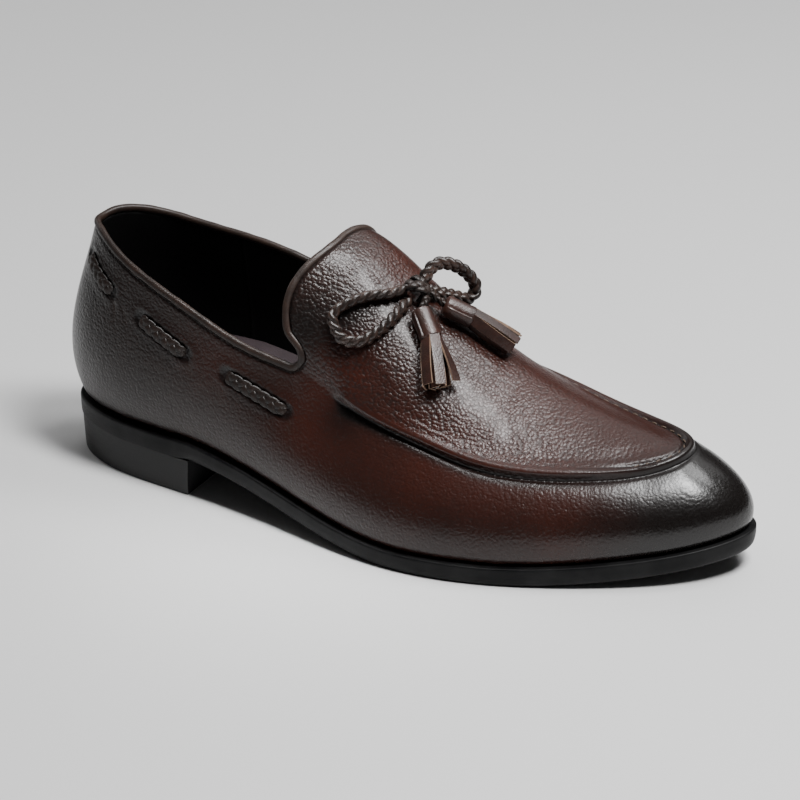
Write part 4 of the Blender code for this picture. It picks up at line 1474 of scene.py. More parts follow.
def leather_material(colours, sizes):
    """Tumbled brown leather: red showing through in fields, burnished toe and heel, a smooth seam, and
    painted shade and shadow along the seam, in the slots and in fields.
    """
    w, shader = new_material("tumbled_brown_leather", Coat_Roughness=0.2, Specular_IOR_Level=0.32)
    grain = w.group("pebble_grain")
    fine = w.group("pebble_grain", Cell=900.0, Wander=0.0014)
    rub = w.group("mottle")
    ends = w.group("burnish")
    strength = w.attribute("grain")
    satin = w.attribute("satin")
    toe = w.times(ends["Toe"], w.attribute("burnish"))
    valley = w.times(grain["Valley"], strength)
    red = w.times(w.rise(0.7, rub["Cloud"], 0.4), w.attribute("red"), clamp=True)
    colour = w.mix(red, solid(colours.leather), solid(colours.leather_red))
    dark = w.math("MAXIMUM", w.times(toe, 0.94), w.times(ends["Heel"], 0.6))
    # painted shade and shadow of the dark mark, taken with the burnished toe and heel
    dark = w.math("MAXIMUM", dark, w.attribute("dark"))
    for share in (dark, w.times(rub["Cloud"], 0.2), w.times(valley, 0.5)):
        colour = w.mix(share, colour, solid(colours.leather_dark))
    colour = w.mix(w.times(w.attribute("worn"), 0.5), colour, solid(colours.binding))
    # painted shade of the groove mark: in the seam's grooves, along its step, under the binding and round the
    # slots
    colour = w.mix(w.times(w.attribute("groove"), 0.9), colour, CREVICE_SHADE)
    rough = w.rise(w.rise(0.28, valley, 0.12), satin, 0.08)
    rough = w.rise(w.rise(rough, rub["Fine"], 0.05), toe, -0.04)
    gloss = w.times(w.rise(0.12, toe, 0.19), w.minus(1.0, satin, clamp=True))
    w.fill(shader, Base_Color=colour, Roughness=rough, Coat_Weight=gloss)
    run = w.add("ShaderNodeAttribute", attribute_name="run").outputs["Vector"]
    drawn = w.times(w.noise(run, 1.0), w.times(w.attribute("gather"), 0.3))
    rest = w.minus(1.0, w.times(w.attribute("bead"), 0.8), clamp=True)
    coarse = w.times(grain["Height"], w.times(rest, strength))
    small = w.times(fine["Height"], w.attribute("fine"))
    pebbles = w.times(w.plus(coarse, small), w.rise(1.0, ends["Toe"], -0.6))
    bump(w, shader, w.plus(pebbles, drawn), sizes.grain_depth)


def smooth_leather_material(name, colour, colours, roughness, specular=0.5, pores=0.3):
    """Smooth dyed leather with faint grain, rubbed patches and dark pores: its wiring, shader and colour."""
    w, shader = new_material(name, Coat_Weight=0.1, Coat_Roughness=0.25, Specular_IOR_Level=specular)
    grain = w.group("pebble_grain", Cell=1500.0, Wander=0.0004)
    rub = w.group("mottle", Patch=110.0)
    shade = w.mix(w.times(rub["Cloud"], 0.55), solid(colour), solid(colours.leather_dark))
    shade = w.mix(w.times(grain["Valley"], pores), shade, solid(colours.leather_dark))
    w.fill(shader, Base_Color=shade, Roughness=w.rise(roughness, rub["Fine"], 0.12))
    bump(w, shader, grain["Height"], 0.05 * MM)
    return w, shader, shade


def lace_material(name, colour, colours, roughness, specular):
    """Braid leather, with painted shade between its strands."""
    w, shader, shade = smooth_leather_material(name, colour, colours, roughness, specular)
    between = w.times(w.attribute("strand_edge"), 0.85)
    w.fill(shader, Base_Color=w.mix(between, shade, solid(colours.leather_dark)))


def tassel_material(colours):
    """Tassel leather with pale raw edges on the cut strips."""
    w, shader, shade = smooth_leather_material("tassel_leather", colours.tassel, colours, 0.3, pores=0.2)
    fibre = w.times(w.noise(w.place(), 2600.0, 3.0), 0.7)
    cut = w.mix(fibre, solid(colours.raw_edge), solid(colours.tassel))
    w.fill(shader, Base_Color=w.mix(w.attribute("raw"), shade, cut))


def thread_material(colours):
    """Waxed thread with a fine twist."""
    w, shader = new_material("waxed_thread", Roughness=0.5)
    twist = w.noise(w.place(), 2200.0, 1.0)
    w.fill(shader, Base_Color=w.mix(twist, solid(colours.thread), solid(colours.twist)))
    bump(w, shader, twist, 0.05 * MM)


def sole_material(name, colour, worn):
    """Satin black of the sole's edge and the heel: faintly rubbed, and brushed along."""
    w, shader = new_material(name, Coat_Weight=0.03, Coat_Roughness=0.3, Specular_IOR_Level=0.11)
    rub = w.group("mottle", Patch=60.0, Speck=1400.0)
    stretched = w.add("ShaderNodeMapping", {"Vector": w.place(), "Scale": (120.0, 120.0, 900.0)}).outputs[0]
    brushed = w.noise(stretched, 1.0, 3.0)
    rough = w.rise(w.rise(0.34, rub["Fine"], 0.1), brushed, 0.12)
    w.fill(shader, Base_Color=w.mix(w.times(rub["Cloud"], 0.3), solid(colour), solid(worn)), Roughness=rough)
    bump(w, shader, w.rise(brushed, rub["Fine"], 0.5), 0.03 * MM)


def lining_material(name, colour, roughness, seam_station):
    """Soft lining leather with fine pores and faint patches, and a seam across the shoe at a station."""
    w, shader = new_material(name, Specular_IOR_Level=0.2)
    grain = w.group("pebble_grain", Cell=1900.0, Wander=0.0003)
    rub = w.group("mottle", Patch=70.0)
    darker = tuple(channel * 0.8 for channel in colour)
    w.fill(shader, Base_Color=w.mix(rub["Cloud"], solid(colour), solid(darker)),
           Roughness=w.rise(roughness, rub["Fine"], 0.1))
    length = w.add("ShaderNodeSeparateXYZ", {0: w.place()}).outputs[0]
    seam = to_frame((seam_station, 0.0, 0.0))[0]
    ridge = w.ramp(w.math("ABSOLUTE", w.minus(length, seam)), 0.0, 1.4 * MM, 1.0, 0.0)
    bump(w, shader, w.rise(grain["Height"], ridge, 6.0), 0.05 * MM)


def floor_material(stage):
    """Pale matt floor with a very slight unevenness."""
    w, shader = new_material("pale_floor")
    cloud = w.noise(w.place(), 3.0)
    w.fill(shader, Base_Color=w.mix(w.times(cloud, 0.03), solid(stage.floor), solid(stage.floor_patch)),
           Roughness=w.rise(0.6, cloud, 0.1))


# Operators
class LoaferOperator:
    """What every operator of the loafer shares."""

    bl_options = {"REGISTER", "UNDO"}

    def values(self, context):
        """Sizes, colours and stage values of the scene."""
        return [getattr(context.scene, name) for name in VALUES]


class LOAFER_OT_stage(LoaferOperator, bpy.types.Operator):
    """Camera at the photograph's angle, soft studio lights and a pale floor."""

    bl_idname = "loafer.stage"
    bl_label = "Make stage"

    def execute(self, context):
        """Make camera, lights, world and floor."""
        stage = self.values(context)[2]
        self.add_camera(context, stage)
        for name, power, where, towards, size, spread in LIGHTS:
            light = self.add_light(context, name, np.array(where), np.array(towards))
            light.size, light.size_y = size
            light.spread = np.radians(spread)
            light.energy = getattr(stage, power)
        world = bpy.data.worlds.new("studio")
        world.use_nodes = True
        background = world.node_tree.nodes["Background"]
        Wiring(world.node_tree).fill(background, Color=(1.0, 1.0, 1.0, 1.0), Strength=stage.ambient)
        context.scene.world = world
        floor_material(stage)
        mesh = bpy.data.meshes.new("floor")
        corners = [(x * FLOOR_REACH, y * FLOOR_REACH, 0.0) for x, y in ((-1, -1), (1, -1), (1, 1), (-1, 1))]
        mesh.from_pydata(corners, [], [(0, 1, 2, 3)])
        mesh.materials.append(bpy.data.materials["pale_floor"])
        floor = bpy.data.objects.new("floor", mesh)
        context.scene.collection.objects.link(floor)
        return {"FINISHED"}

    def add_camera(self, context, stage):
        """Camera facing the shoe's middle at the stage's angles and distance."""
        round_shoe = np.array([np.sin(stage.azimuth), -np.cos(stage.azimuth), 0.0])
        back = np.cos(stage.elevation) * round_shoe + np.sin(stage.elevation) * np.array([0.0, 0.0, 1.0])
        right = np.array([np.cos(stage.azimuth), np.sin(stage.azimuth), 0.0])
        up = np.cross(back, right)
        turned_right = np.cos(stage.roll) * right + np.sin(stage.roll) * up
        turned_up = np.cos(stage.roll) * up - np.sin(stage.roll) * right
        data = bpy.data.cameras.new("camera")
        data.lens = stage.lens
        data.sensor_width = SENSOR_WIDTH
        where = to_frame(CAMERA_AIM) + back * stage.distance
        axes = (turned_right, turned_up, back)
        context.scene.camera = self.add_object(context, "camera", data, axes, where)

    def add_light(self, context, name, where, towards):
        """Rectangular area light facing a point."""
        data = bpy.data.lights.new(name, "AREA")
        data.shape = "RECTANGLE"
        facing = unit(where - towards)
        across = unit(np.cross((0.0, 1.0, 0.0) if abs(facing[2]) > 0.9 else (0.0, 0.0, 1.0), facing))
        self.add_object(context, name, data, (across, np.cross(facing, across), facing), where)
        return data

    def add_object(self, context, name, data, axes, where):
        """Camera or light in the scene, turned to three axes at a place."""
        item = bpy.data.objects.new(name, data)
        place = np.eye(4)
        place[:3, :3] = np.stack(axes, -1)
        place[:3, 3] = where
        item.matrix_world = Matrix(place.tolist())
        context.scene.collection.objects.link(item)
        return item


class LOAFER_OT_finishes(LoaferOperator, bpy.types.Operator):
    """Node groups and materials that the pieces share."""

    bl_idname = "loafer.finishes"
    bl_label = "Make finishes"

    def execute(self, context):
        """Build the groups, then each finish."""
        sizes, colours, _ = self.values(context)
        make_pebble_group()
        make_burnish_group()
        make_mottle_group()
        leather_material(colours, sizes)
        smooth_leather_material("binding_leather", colours.binding, colours, 0.42, 0.26)
        lace_material("braid_leather", colours.lace, colours, 0.28, 0.35)
        # a darker copy of the braid leather: painted shade on the bars, the knot and the necks
        lace_material("bar_leather", colours.bar, colours, 0.36, 0.22)
        tassel_material(colours)
        thread_material(colours)
        sole_material("satin_black_sole", colours.sole, colours.heel)
        # the heel's lighter colour paints in the floor's reflection
        sole_material("satin_black_heel", colours.heel, colours.heel)
        lining_material("black_lining", colours.lining, 0.55, LINING_SEAM)
        lining_material("insole_leather", colours.insole, 0.5, INSOLE_SEAM)
        return {"FINISHED"}


class LOAFER_OT_bow(LoaferOperator, bpy.types.Operator):
    """Bow: two braided loops and the knot that ties them."""

    bl_idname = "loafer.bow"
    bl_label = "Make bow"

    def execute(self, context):
        """Carry the braid along the loops' routes, and wrap it over the knot."""
        sizes = self.values(context)[0]
        width = sizes.braid_width / MM
        pitch = sizes.braid_pitch / MM
        knot, lift = over_apron(*BOW_KNOT)
        for (name, points, up), roll in zip(self.loops(knot), LOOP_ROLL):
            path = smooth_path(points, LOOP_STEPS)
            tangent = along_path(path)
            flat = square_to(np.broadcast_to(up, path.shape), tangent)
            along = np.linspace(0.0, 2.0, len(path))
            turned = np.radians(np.interp(along, (0.0, 1.0, 2.0), roll))[:, None]
            lifts = np.cos(turned) * flat + np.sin(turned) * np.cross(tangent, flat)
            parts = braid_strands(path, lifts, width, BRAID_FLATNESS * width, pitch)
            loop = add_braid(f"bow_braid_{name}", parts, "braid_leather", (f"bow_loop_{name}",))
            route = to_frame(path[::4])
            float(lengths_along(route)[-1])
        add_braid("bow_knot_wrap", self.knot_wraps(knot, lift, width, pitch), "bar_leather", ("bow_knot",))
        return {"FINISHED"}

    def loops(self, knot):
        """Name, points and flat side's direction of each loop."""
        lateral, lift = over_apron(*np.array(LATERAL_LOOP).T)
        medial = knot + np.array(MEDIAL_LOOP)
        middle = medial.mean(0)
        flat = unit(np.cross(medial[2] - middle, medial[6] - middle))
        return ("lateral", lateral, lift.mean(0)), ("medial", medial, flat)

    def knot_wraps(self, knot, lift, width, pitch):
        """Strands of two short braids that arch over the knot: each a little more than half an ellipse."""
        forward = square_to(np.array([1.0, 0.0, 0.0]), lift)
        medial = np.cross(lift, forward)
        angle = np.linspace(-WRAP_OVER, HALF_TURN + WRAP_OVER, WRAP_STEPS)[:, None]
        wide, thick, stretch = WRAP_BRAID
        parts = []
        for reach, high, start, twist in KNOT_WRAPS:
            line = forward * np.cos(twist) + medial * np.sin(twist)
            path = knot + medial * start + np.cos(angle) * line * reach
            path = path + np.sin(angle) * lift * high - lift * WRAP_SINK
            outward = np.cos(angle) * line + np.sin(angle) * lift
            parts += braid_strands(path, outward, wide * width, thick * width, stretch * pitch)
        return parts


def add_braid(name, parts, material, nodes):
    """Braided piece, with each strand's edges marked for the painted shade between strands."""
    piece = add_piece(name, *join_parts(parts), material, "lace", nodes, sharp=None)
    # painted shade where the strands meet, strongest at each strand's two sides
    angle = TURN * (np.arange(BRAID_SIDES) + 0.5) / BRAID_SIDES
    edge = np.abs(np.cos(angle)) ** 3
    rows = [(len(points) - 2) // BRAID_SIDES for points, _ in parts]
    add_values(piece, "strand_edge", np.concatenate([np.append(np.tile(edge, n), (1.0, 1.0)) for n in rows]))
    return piece


class LOAFER_OT_tassels(LoaferOperator, bpy.types.Operator):
    """Tassels: a braided neck, a rolled cap and a bundle of cut strips each."""

    bl_idname = "loafer.tassels"
    bl_label = "Make tassels"

    def execute(self, context):
        """Make both tassels."""
        sizes = self.values(context)[0]
        knot = over_apron(*BOW_KNOT)[0]
        for (name, neck, *places), table in zip(TASSELS, TASSEL_STRIPS):
            self.make_tassel(name, knot + np.array(neck), places, sizes, table)
        return {"FINISHED"}

    def make_tassel(self, name, neck, places, sizes, table):
        """One tassel from its neck's start to its strips' ends."""
        top, root, end = [over_apron(*place)[0] for place in places]
        lift = over_apron(*places[1])[1]
        inside_knot = neck - (top - neck) * NECK_TUCK[0]
        inside_cap = top + (root - top) * NECK_TUCK[1]
        path = smooth_path(np.array([inside_knot, neck, (neck + top) / 2.0, inside_cap]), NECK_STEPS)
        parts = braid_strands(path, np.broadcast_to(lift, path.shape), *NECK_BRAID)
        add_braid(f"tassel_{name}_neck", parts, "bar_leather", ())
        points, faces = rolled_cap(top, root, lift)
        cap = add_piece(f"tassel_{name}_cap", points, faces, "tassel_leather", "lace", (f"tassel_{name}",))
        add_values(cap, "raw", np.zeros(len(points)))
        parts, raw = tassel_strips(root, end, lift, sizes.strip_width / MM, sizes.strip_thickness / MM, table)
        strips = add_piece(f"tassel_{name}_strips", *join_parts(parts), "tassel_leather", "lace", sharp=30.0)
        add_values(strips, "raw", raw, domain="FACE")


def rolled_cap(top, root, lift):
    """Cap of a tassel: a strip of leather rolled round the axis, its outer edge lapping over itself.

    The radius grows over one turn and steps back at the lap; the ends are rounded in."""
    axis = unit(root - top)
    up = square_to(lift, axis)
    side = np.cross(axis, up)
    profile = np.concatenate([CAP_TOP, np.array(CAP_FOOT) + (0.0, np.linalg.norm(root - top))])
    share = np.arange(CAP_STEPS) / CAP_STEPS
    lap = 1.0 + LAP_STEP * (share - 0.5) * smooth_step(profile[:, 1:], *LAP_FADE)
    angle = TURN * share + LAP_ANGLE
    radius = profile[:, :1] * lap
    rings = top + profile[:, 1][:, None, None] * axis
    rings = rings + (radius * np.cos(angle))[..., None] * side + (radius * np.sin(angle))[..., None] * up
    return capped_rings(rings, top, root - axis * CAP_DEPTH)


def tassel_strips(root, end, lift, width, thickness, table):
    """Strips of a tassel: flat ribbons from a ring in the cap to a wider, flattened ring at their ends.

    A ribbon's middle line is a cubic that leaves along the axis and curls at its end; its flat faces look
    away from the axis, turned about its own line by the angle in the table."""
    axis = unit(end - root)
    up = square_to(lift, axis)
    side = np.cross(axis, up)
    length = np.linalg.norm(end - root)
    share = np.linspace(0.0, 1.0, STRIP_STEPS)[:, None]
    bow = STRIP_SPREAD[0] * share + STRIP_SPREAD[1] * smooth_step(share, 0.0, 1.0)
    parts = []
    raw = []
    for degrees, near_radius, far_radius, reach, wide, turned in table:
        angle = np.radians(degrees)
        out = side * np.cos(angle) + up * np.sin(angle)
        flat_out = side * np.cos(angle) * BUNDLE_WIDTH + up * np.sin(angle) * BUNDLE_HEIGHT
        run = axis * (length * reach + STRIP_TUCK)
        start = root - axis * STRIP_TUCK + out * near_radius
        curl = STRIP_BELLY * np.sin(HALF_TURN * share) + np.sin(np.radians(turned)) * STRIP_CURL * share ** 4
        path = start + run * share + (flat_out * far_radius - out * near_radius) * bow + out * curl
        tangent = along_path(path)
        turn = np.radians(turned) * share
        face = square_to(out * np.cos(turn) + np.cross(axis, out) * np.sin(turn), tangent)
        points, faces, cut = ribbon(path, np.cross(tangent, face), face, width * wide, thickness)
        parts.append((points, faces))
        raw.append(cut)
    return parts, np.concatenate(raw)


def ribbon(path, side, face, width, thickness):
    """Flat strip: a slightly crowned rectangle along a path, its narrow sides and ends marked as cut."""
    half = width / 2.0
    thin = thickness / 2.0
    corners = np.array([(-half, -thin), (0.0, -thin * STRIP_CROWN[0]), (half, -thin),
                        (half, thin), (0.0, thin * STRIP_CROWN[1]), (-half, thin)])
    rings = path[:, None] + corners[:, :1] * side[:, None] + corners[:, 1:] * face[:, None]
    points, faces = capped_rings(rings, path[0], path[-1])
    cut = np.tile((0.0, 0.0, 1.0, 0.0, 0.0, 1.0), len(path) - 1)
    return points, faces, np.concatenate([cut, np.ones(2 * len(corners))])


class LOAFER_OT_upper(LoaferOperator, bpy.types.Operator):
    """Upper: grained leather with its raised seam and slots, and the lining inside it."""

    bl_idname = "loafer.upper"
    bl_label = "Make upper"

    def execute(self, context):
        """Raise the relief on the outer sheet, and lay the lining behind it."""
        sizes = self.values(context)[0]
        close = np.concatenate([np.linspace(*rows) for rows in SEAM_ROWS])
        sheet = UpperSheet(*LEATHER_GRID, close, np.linspace(0.0, 1.0, LEATHER_LOWER_ROWS)[1:])
        points = sheet.points + sheet.normals * self.relief(sheet, sizes.seam_height / MM)[:, None]
        leather = add_piece("upper_leather", points, sheet.quads, "tumbled_brown_leather", "leather",
                            ("upper",), sharp=None, recalculate=False)
        self.mark_leather(leather, sheet)
        self.thicken(leather, sizes.leather_thickness)
        lower = np.linspace(0.0, 1.0, LINING_LOWER_ROWS)[1:]
        coarse = UpperSheet(*LINING_GRID, np.array(LINING_ROWS), lower)
        inner = coarse.points - coarse.normals * (sizes.leather_thickness / MM + LINING_GAP)
        lining = add_piece("upper_lining", inner, coarse.quads, "black_lining", "lining", sharp=None,
                           recalculate=False)
        self.thicken(lining, sizes.lining_thickness)
        return {"FINISHED"}

    def relief(self, sheet, seam_height):
        """Height over the plain sheet: the seam's profile, slots, troughs, unevenness and the bound edge."""
        far = np.clip(sheet.seam_far, -SEAM_REACH, SEAM_REACH)
        rolled = self.groove_share(sheet)
        profile = (1.0 - rolled) * STEP_HEIGHT * seam_step(far) + rolled * seam_roll(far)
        relief = seam_height * profile * sheet.share + slot_relief(sheet.points)
        relief = relief - crease_relief(sheet.points) - scuff_relief(sheet.points)
        beside_seam = 1.0 - sheet.share * hump(sheet.seam_far, 0.0, SEAM_QUIET)
        relief = relief + UNEVENNESS * undulation(sheet.points) * beside_seam
        depth, middle, half_width = EDGE_DIP
        return relief - depth * hump(sheet.from_edge, middle, half_width)

    def groove_share(self, sheet):
        """Strength of the stitched groove, which shows from the toe on along the medial side."""
        return smooth_step(sheet.along / sheet.along.max(), *GROOVE_START)

    def mark_leather(self, piece, sheet):
        """Give the material the seam's bead and gathers, the painted shade and shadow of the seam, binding
        and slots, the colour's fields (some of them painted shade) and the grain.
        """
        far = sheet.seam_far
        points = sheet.points
        station = points[:, 0]
        rolled = self.groove_share(sheet)
        bands = {name: size * hump(far, *bell) for name, (size, *bell) in SEAM_BANDS.items()}
        # painted shade in the seam's two grooves and along the foot of its step
        crease = rolled * (bands["apron groove"] + bands["wall groove"])
        crease = crease + (1.0 - rolled) * bands["step foot"]
        # painted shadow on the wall below the seam's step
        shade = sheet.share * bands["step shade"] * (far > 0.0)
        gather = sheet.share * smooth_step(far, *GATHER_RISE) * (1.0 - smooth_step(far, *GATHER_FALL))
        # painted shade under the binding and round the bar slots
        edge = BINDING_SHADE[0] * hump(sheet.from_edge, 0.0, BINDING_SHADE[1]) + slot_shade(points)
        bead = sheet.share * hump(far, BEAD_OFFSET * (rolled - 1.0), BEAD_WIDTH + BEAD_WIDENING * rolled, 4)
        quiet = sheet.share * bands["quiet grain"] * smooth_step(station, *QUIET_STATIONS)
        wall_grain = WALL_GRAIN - QUIET_LOSS * quiet
        apron_grain = np.clip(APRON_GRAIN - fields(points, SMOOTH_FIELDS), LEAST_GRAIN, 1.0)
        beside = smooth_step(-far, *GRAIN_CHANGE) * sheet.share + (1.0 - sheet.share) * sheet.on_apron
        grain = wall_grain + (apron_grain - wall_grain) * beside
        marks = {
            "bead": bead,
            # painted shade, mixed towards the crevice shade colour
            "groove": np.clip(sheet.share * crease + edge, 0.0, 1.0),
            "gather": gather * smooth_step(station, *GATHER_STATIONS),
            "red": np.clip(RED_EVERYWHERE + fields(points, RED_FIELDS) + RED_BEAD * bead, 0.0, 1.0),
            # painted shade and shadow on the tongue's flanks, under the lateral loop and below the seam's
            # step, with darker patches
            "dark": np.clip(fields(points, SHADE_AND_DARK_FIELDS) + shade, 0.0, MOST_DARK),
            "satin": np.clip(fields(points, SATIN_FIELDS), 0.0, 1.0),
            "worn": np.clip(scuff_relief(points) / WORN_DEPTH, 0.0, 1.0),
            "grain": grain,
            "fine": FINE_GRAIN * (FULL_GRAIN - grain) * (1.0 - FINE_QUIET_LOSS * quiet),
            "burnish": 1.0 - APRON_BURNISH * smooth_step(-far, *BURNISH_CHANGE) * sheet.share,
        }
        for name, values in marks.items():
            add_values(piece, name, values)
        run = np.stack([sheet.along / GATHER_LENGTH, far / GATHER_REACH, 0.0 * far], -1)
        add_values(piece, "run", run, "FLOAT_VECTOR")

    def thicken(self, piece, thickness):
        """Give a sheet its thickness towards the inside."""
        solid_wall = piece.modifiers.new("Thickness", "SOLIDIFY")
        solid_wall.thickness = thickness
        solid_wall.offset = -1.0
        solid_wall.use_even_offset = False


class LOAFER_OT_binding(LoaferOperator, bpy.types.Operator):
    """Binding: a rolled strip round the whole foot opening."""

    bl_idname = "loafer.binding"
    bl_label = "Make binding"

    def execute(self, context):
        """Carry the rolled section round the rounded edge of the opening."""
        turn, across, _ = upper_columns(*LEATHER_GRID)
        total, edge, off, normal = rounded_edge(*opening_edge(turn, across[-1], LEATHER_GRID[0]))
        at = np.linspace(0.0, total, BINDING_STEPS, endpoint=False)
        out = unit(normal(at))
        path = edge(at) - out * (WALL_THICKNESS / 2.0 - BINDING_PROUD) + unit(off(at)) * BINDING_LIFT
        tangent = along_path(path, closed=True)
        side = square_to(out, tangent)
        waves = [size * np.sin(at * TURN / length + start) for size, length, start in BINDING_WAVES]
        wave = sum(waves, 1.0)
        points, faces = tube(path, side, np.cross(tangent, side), BINDING_HALF_WIDTH * wave,
                             BINDING_HALF_HEIGHT * wave, BINDING_SIDES, BINDING_SQUARE, closed=True)
        add_piece("topline_binding_roll", points, faces, "binding_leather", "binding", ("topline_binding",),
                  sharp=None)
        return {"FINISHED"}


class LOAFER_OT_bars(LoaferOperator, bpy.types.Operator):
    """Lace bars: three braids on each side, showing between their slots."""

    bl_idname = "loafer.bars"
    bl_label = "Make lace bars"

    def execute(self, context):
        """Lay a braid in each slot, its ends dipping under the leather."""
        sizes = self.values(context)[0]
        share = np.abs(np.linspace(-1.0, 1.0, BAR_STEPS))
        lift, height, taper = [middle - drop * share ** power
                               for middle, drop, power in (BAR_LIFT, BAR_HEIGHT, BAR_TAPER)]
        width = sizes.bar_width / MM * taper
        for number in (1, 2, 3):
            for name in ("lateral", "medial"):
                path, normal = bar_path(number, name == "medial", BAR_STEPS)
                path = path + normal * lift[:, None]
                parts = braid_strands(path, normal, width, height, sizes.bar_pitch / MM)
                add_braid(f"lace_braid_{name}_{number}", parts, "bar_leather", (f"lace_bar_{name}_{number}",))
        return {"FINISHED"}


class LOAFER_OT_stitches(LoaferOperator, bpy.types.Operator):
    """Stitches: waxed thread in the groove beside the raised seam."""

    bl_idname = "loafer.stitches"
    bl_label = "Make stitches"

    def execute(self, context):
        """Lay a short rounded thread at each step along the groove."""
        turn = np.linspace(turn_of(STITCH_START), TURN - turn_of(STITCH_END), GROOVE_STEPS)
        seam = top_line(turn)
        tangent = along_path(seam)
        inward = square_to(apron_edge_direction(turn), tangent)
        normal = unit(np.cross(tangent, inward))
        normal = normal * np.sign(normal[:, 2:])
        line = seam + inward * STITCH_INSET - normal * STITCH_SINK
        length = lengths_along(line)
        pitch = self.values(context)[0].stitch_pitch / MM
        centres = np.arange(pitch, length[-1] - pitch, pitch)
        share = np.linspace(-1.0, 1.0, STITCH_STEPS)
        at = centres[:, None] + share * STITCH_REACH * pitch
        places, ups, ins = [np.stack([np.interp(at, length, column) for column in values.T], -1)
                            for values in (line, normal, inward)]
        paths = places - ups * (STITCH_DIP * share ** 4)[:, None] + ins * (STITCH_SLANT * share)[:, None]
        radius = STITCH_RADIUS * np.sqrt(np.clip(STITCH_FULLNESS - share ** 4, 0.0, 1.0))
        parts = []
        for path, up in zip(paths, ups):
            run = along_path(path)
            lift = square_to(up, run)
            parts.append(tube(path, np.cross(run, lift), lift, radius, radius, STITCH_SIDES))
        add_piece("seam_stitches", *join_parts(parts), "waxed_thread", "lace", sharp=None)
        return {"FINISHED"}


def apron_edge_direction(turn):
    """Direction from the seam into the apron at angles round its edge."""
    front = turn_of(APRON_FRONT_STATION)
    corner = turn_of(CORNER_STATION)
    small = 0.02
    lateral = turn < front
    medial = turn > TURN - front
    beside = lateral | medial
    back = np.clip((np.where(medial, TURN - turn, turn) - front) / (corner - front), 0.0, 1.0)
    across = np.clip((turn - front) / (TURN - 2.0 * front) * 2.0 - 1.0, -1.0, 1.0)
    across = np.where(lateral, -1.0, np.where(medial, 1.0, across))
    inner = apron(across * (1.0 - 2.0 * small), np.where(beside, back, small))
    return inner - apron(across, np.where(beside, back, 0.0))


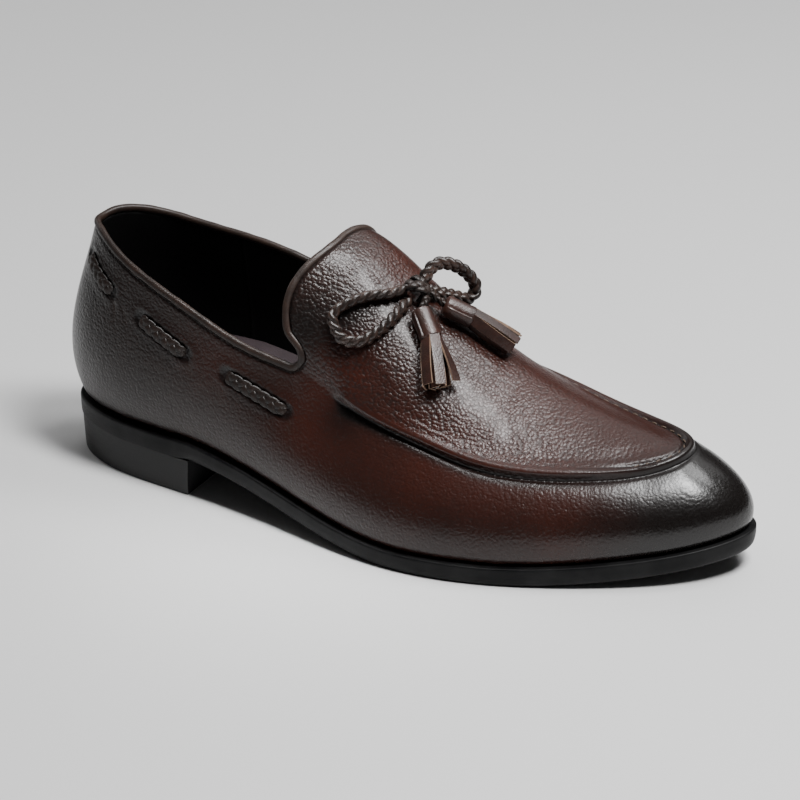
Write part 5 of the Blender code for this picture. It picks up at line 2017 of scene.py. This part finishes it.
class LOAFER_OT_sole(LoaferOperator, bpy.types.Operator):
    """Sole: outsole with its stepped edge, heel block and insole."""

    bl_idname = "loafer.sole"
    bl_label = "Make sole"

    def execute(self, context):
        """Make the three pieces under the foot."""
        add_piece("outsole_finished", *closed_rings(self.sole_rings()), "satin_black_sole", "sole",
                  ("outsole",), sharp=50.0)
        heel = add_piece("heel_finished", *closed_rings(self.heel_rings()), "satin_black_heel", "sole",
                         ("heel",), sharp=35.0)
        edge = heel.modifiers.new("Edge", "BEVEL")
        edge.width = HEEL_BEVEL * MM
        edge.segments = 3
        edge.limit_method = "ANGLE"
        edge.angle_limit = np.radians(BEVEL_ANGLE)
        add_piece("insole_sock", *closed_rings(self.insole_rings()), "insole_leather", "lining", ("insole",))
        return {"FINISHED"}

    def sole_rings(self):
        """Rings of the outsole: its outline inset by the edge's profile, less rounded over the heel."""
        turn = np.linspace(0.0, TURN, SOLE_STEPS, endpoint=False)
        before_breast = 1.0 - smooth_step(station_of(turn), *SEAT_STATIONS)
        full = 1.0 - SEAT_SQUARE * before_breast
        rings = []
        for inset, height in SOLE_EDGE:
            at_edge = 0.0 < inset < EDGE_INSET and height < EDGE_HEIGHT
            plan = outline(turn, inset * full if at_edge else inset)[0]
            rings.append(over_sole(plan, height - SOLE_THICKNESS))
        return np.array(rings)

    def insole_rings(self):
        """Rings of the insole: its outline inside the lining, raised along the medial side of the arch."""
        turn = np.linspace(0.0, TURN, INSOLE_STEPS, endpoint=False)
        table = np.array(INSOLE_EDGE)
        insets = WELT + WALL_THICKNESS + INSOLE_GAP + table[:, 0]
        lifts = GAP + table[:, 1] * INSOLE_THICKNESS
        rings = np.array([over_sole(outline(turn, inset)[0], lift) for inset, lift in zip(insets, lifts)])
        return rings + self.arch_support(turn, rings[1, :, 2]) * table[:, 2][:, None, None]

    def arch_support(self, turn, height):
        """How the insole's edge at a height moves up along the lining, on the medial side of the arch."""
        station = station_of(turn)
        medial = np.sin(turn) < 0.0
        along = smooth_step(station, *ARCH_RISE_STATIONS) * (1.0 - smooth_step(station, *ARCH_FALL_STATIONS))
        return on_wall(turn, height + ARCH_RISE * along * medial)[0] - on_wall(turn, height)[0]

    def heel_rings(self):
        """Rings of the heel block: the back of the sole's outline, tapering down, with a straight breast."""
        breast = turn_of(HEEL_BREAST)
        turn = np.linspace(-breast, breast, HEEL_STEPS)
        rings = []
        for inset, setback, height in HEEL_EDGE:
            plan = outline(turn, inset)[0]
            plan[:, 0] = np.minimum(plan[:, 0], HEEL_BREAST - setback)
            plan[[0, -1], 0] = HEEL_BREAST - setback
            plan = np.roll(plan, -(HEEL_STEPS // 2), axis=0)
            rings.append(np.concatenate([plan, np.full((HEEL_STEPS, 1), height)], -1))
        return np.array(rings)


def closed_rings(rings):
    """Points and faces of a solid through rings of points, closed by strips between opposite points."""
    index = grid_numbers(*rings.shape[:2])
    half = index.shape[1] // 2
    ends = [grid_faces(np.stack([ring[:half], ring[::-1][:half]])) for ring in (index[0], index[-1])]
    return rings.reshape(-1, 3), [grid_faces(index, closed=True), *ends]


class LOAFER_PT_panel(bpy.types.Panel):
    """Loafer's values and its makers."""

    bl_label = "Tassel Loafer"
    bl_idname = "LOAFER_PT_panel"
    bl_space_type = "VIEW_3D"
    bl_region_type = "UI"
    bl_category = "Loafer"

    def draw(self, context):
        """List the values, then the operators in the order they run."""
        for group, kind in VALUES.items():
            column = self.layout.column(align=True)
            for name in kind.__annotations__:
                column.prop(getattr(context.scene, group), name)
        for operator in OPERATORS:
            self.layout.operator(operator.bl_idname)


OPERATORS = (LOAFER_OT_stage, LOAFER_OT_finishes, LOAFER_OT_bow, LOAFER_OT_tassels, LOAFER_OT_upper,
             LOAFER_OT_binding, LOAFER_OT_bars, LOAFER_OT_stitches, LOAFER_OT_sole)
VALUES = {"loafer_sizes": LoaferSizes, "loafer_colours": LoaferColours, "loafer_stage": LoaferStage}
CLASSES = (*VALUES.values(), *OPERATORS, LOAFER_PT_panel)


def register():
    """Add the classes and the scene's values."""
    for item in CLASSES:
        bpy.utils.register_class(item)
    for name, kind in VALUES.items():
        setattr(bpy.types.Scene, name, bpy.props.PointerProperty(type=kind))


def unregister():
    """Take the classes and the scene's values away."""
    for name in VALUES:
        delattr(bpy.types.Scene, name)
    for item in reversed(CLASSES):
        bpy.utils.unregister_class(item)


def main():
    """Make every piece in order."""
    register()
    bpy.ops.loafer.stage()
    bpy.ops.loafer.finishes()
    bpy.ops.loafer.bow()
    bpy.ops.loafer.tassels()
    bpy.ops.loafer.upper()
    bpy.ops.loafer.binding()
    bpy.ops.loafer.bars()
    bpy.ops.loafer.stitches()
    bpy.ops.loafer.sole()


if __name__ == "__main__":
    main()
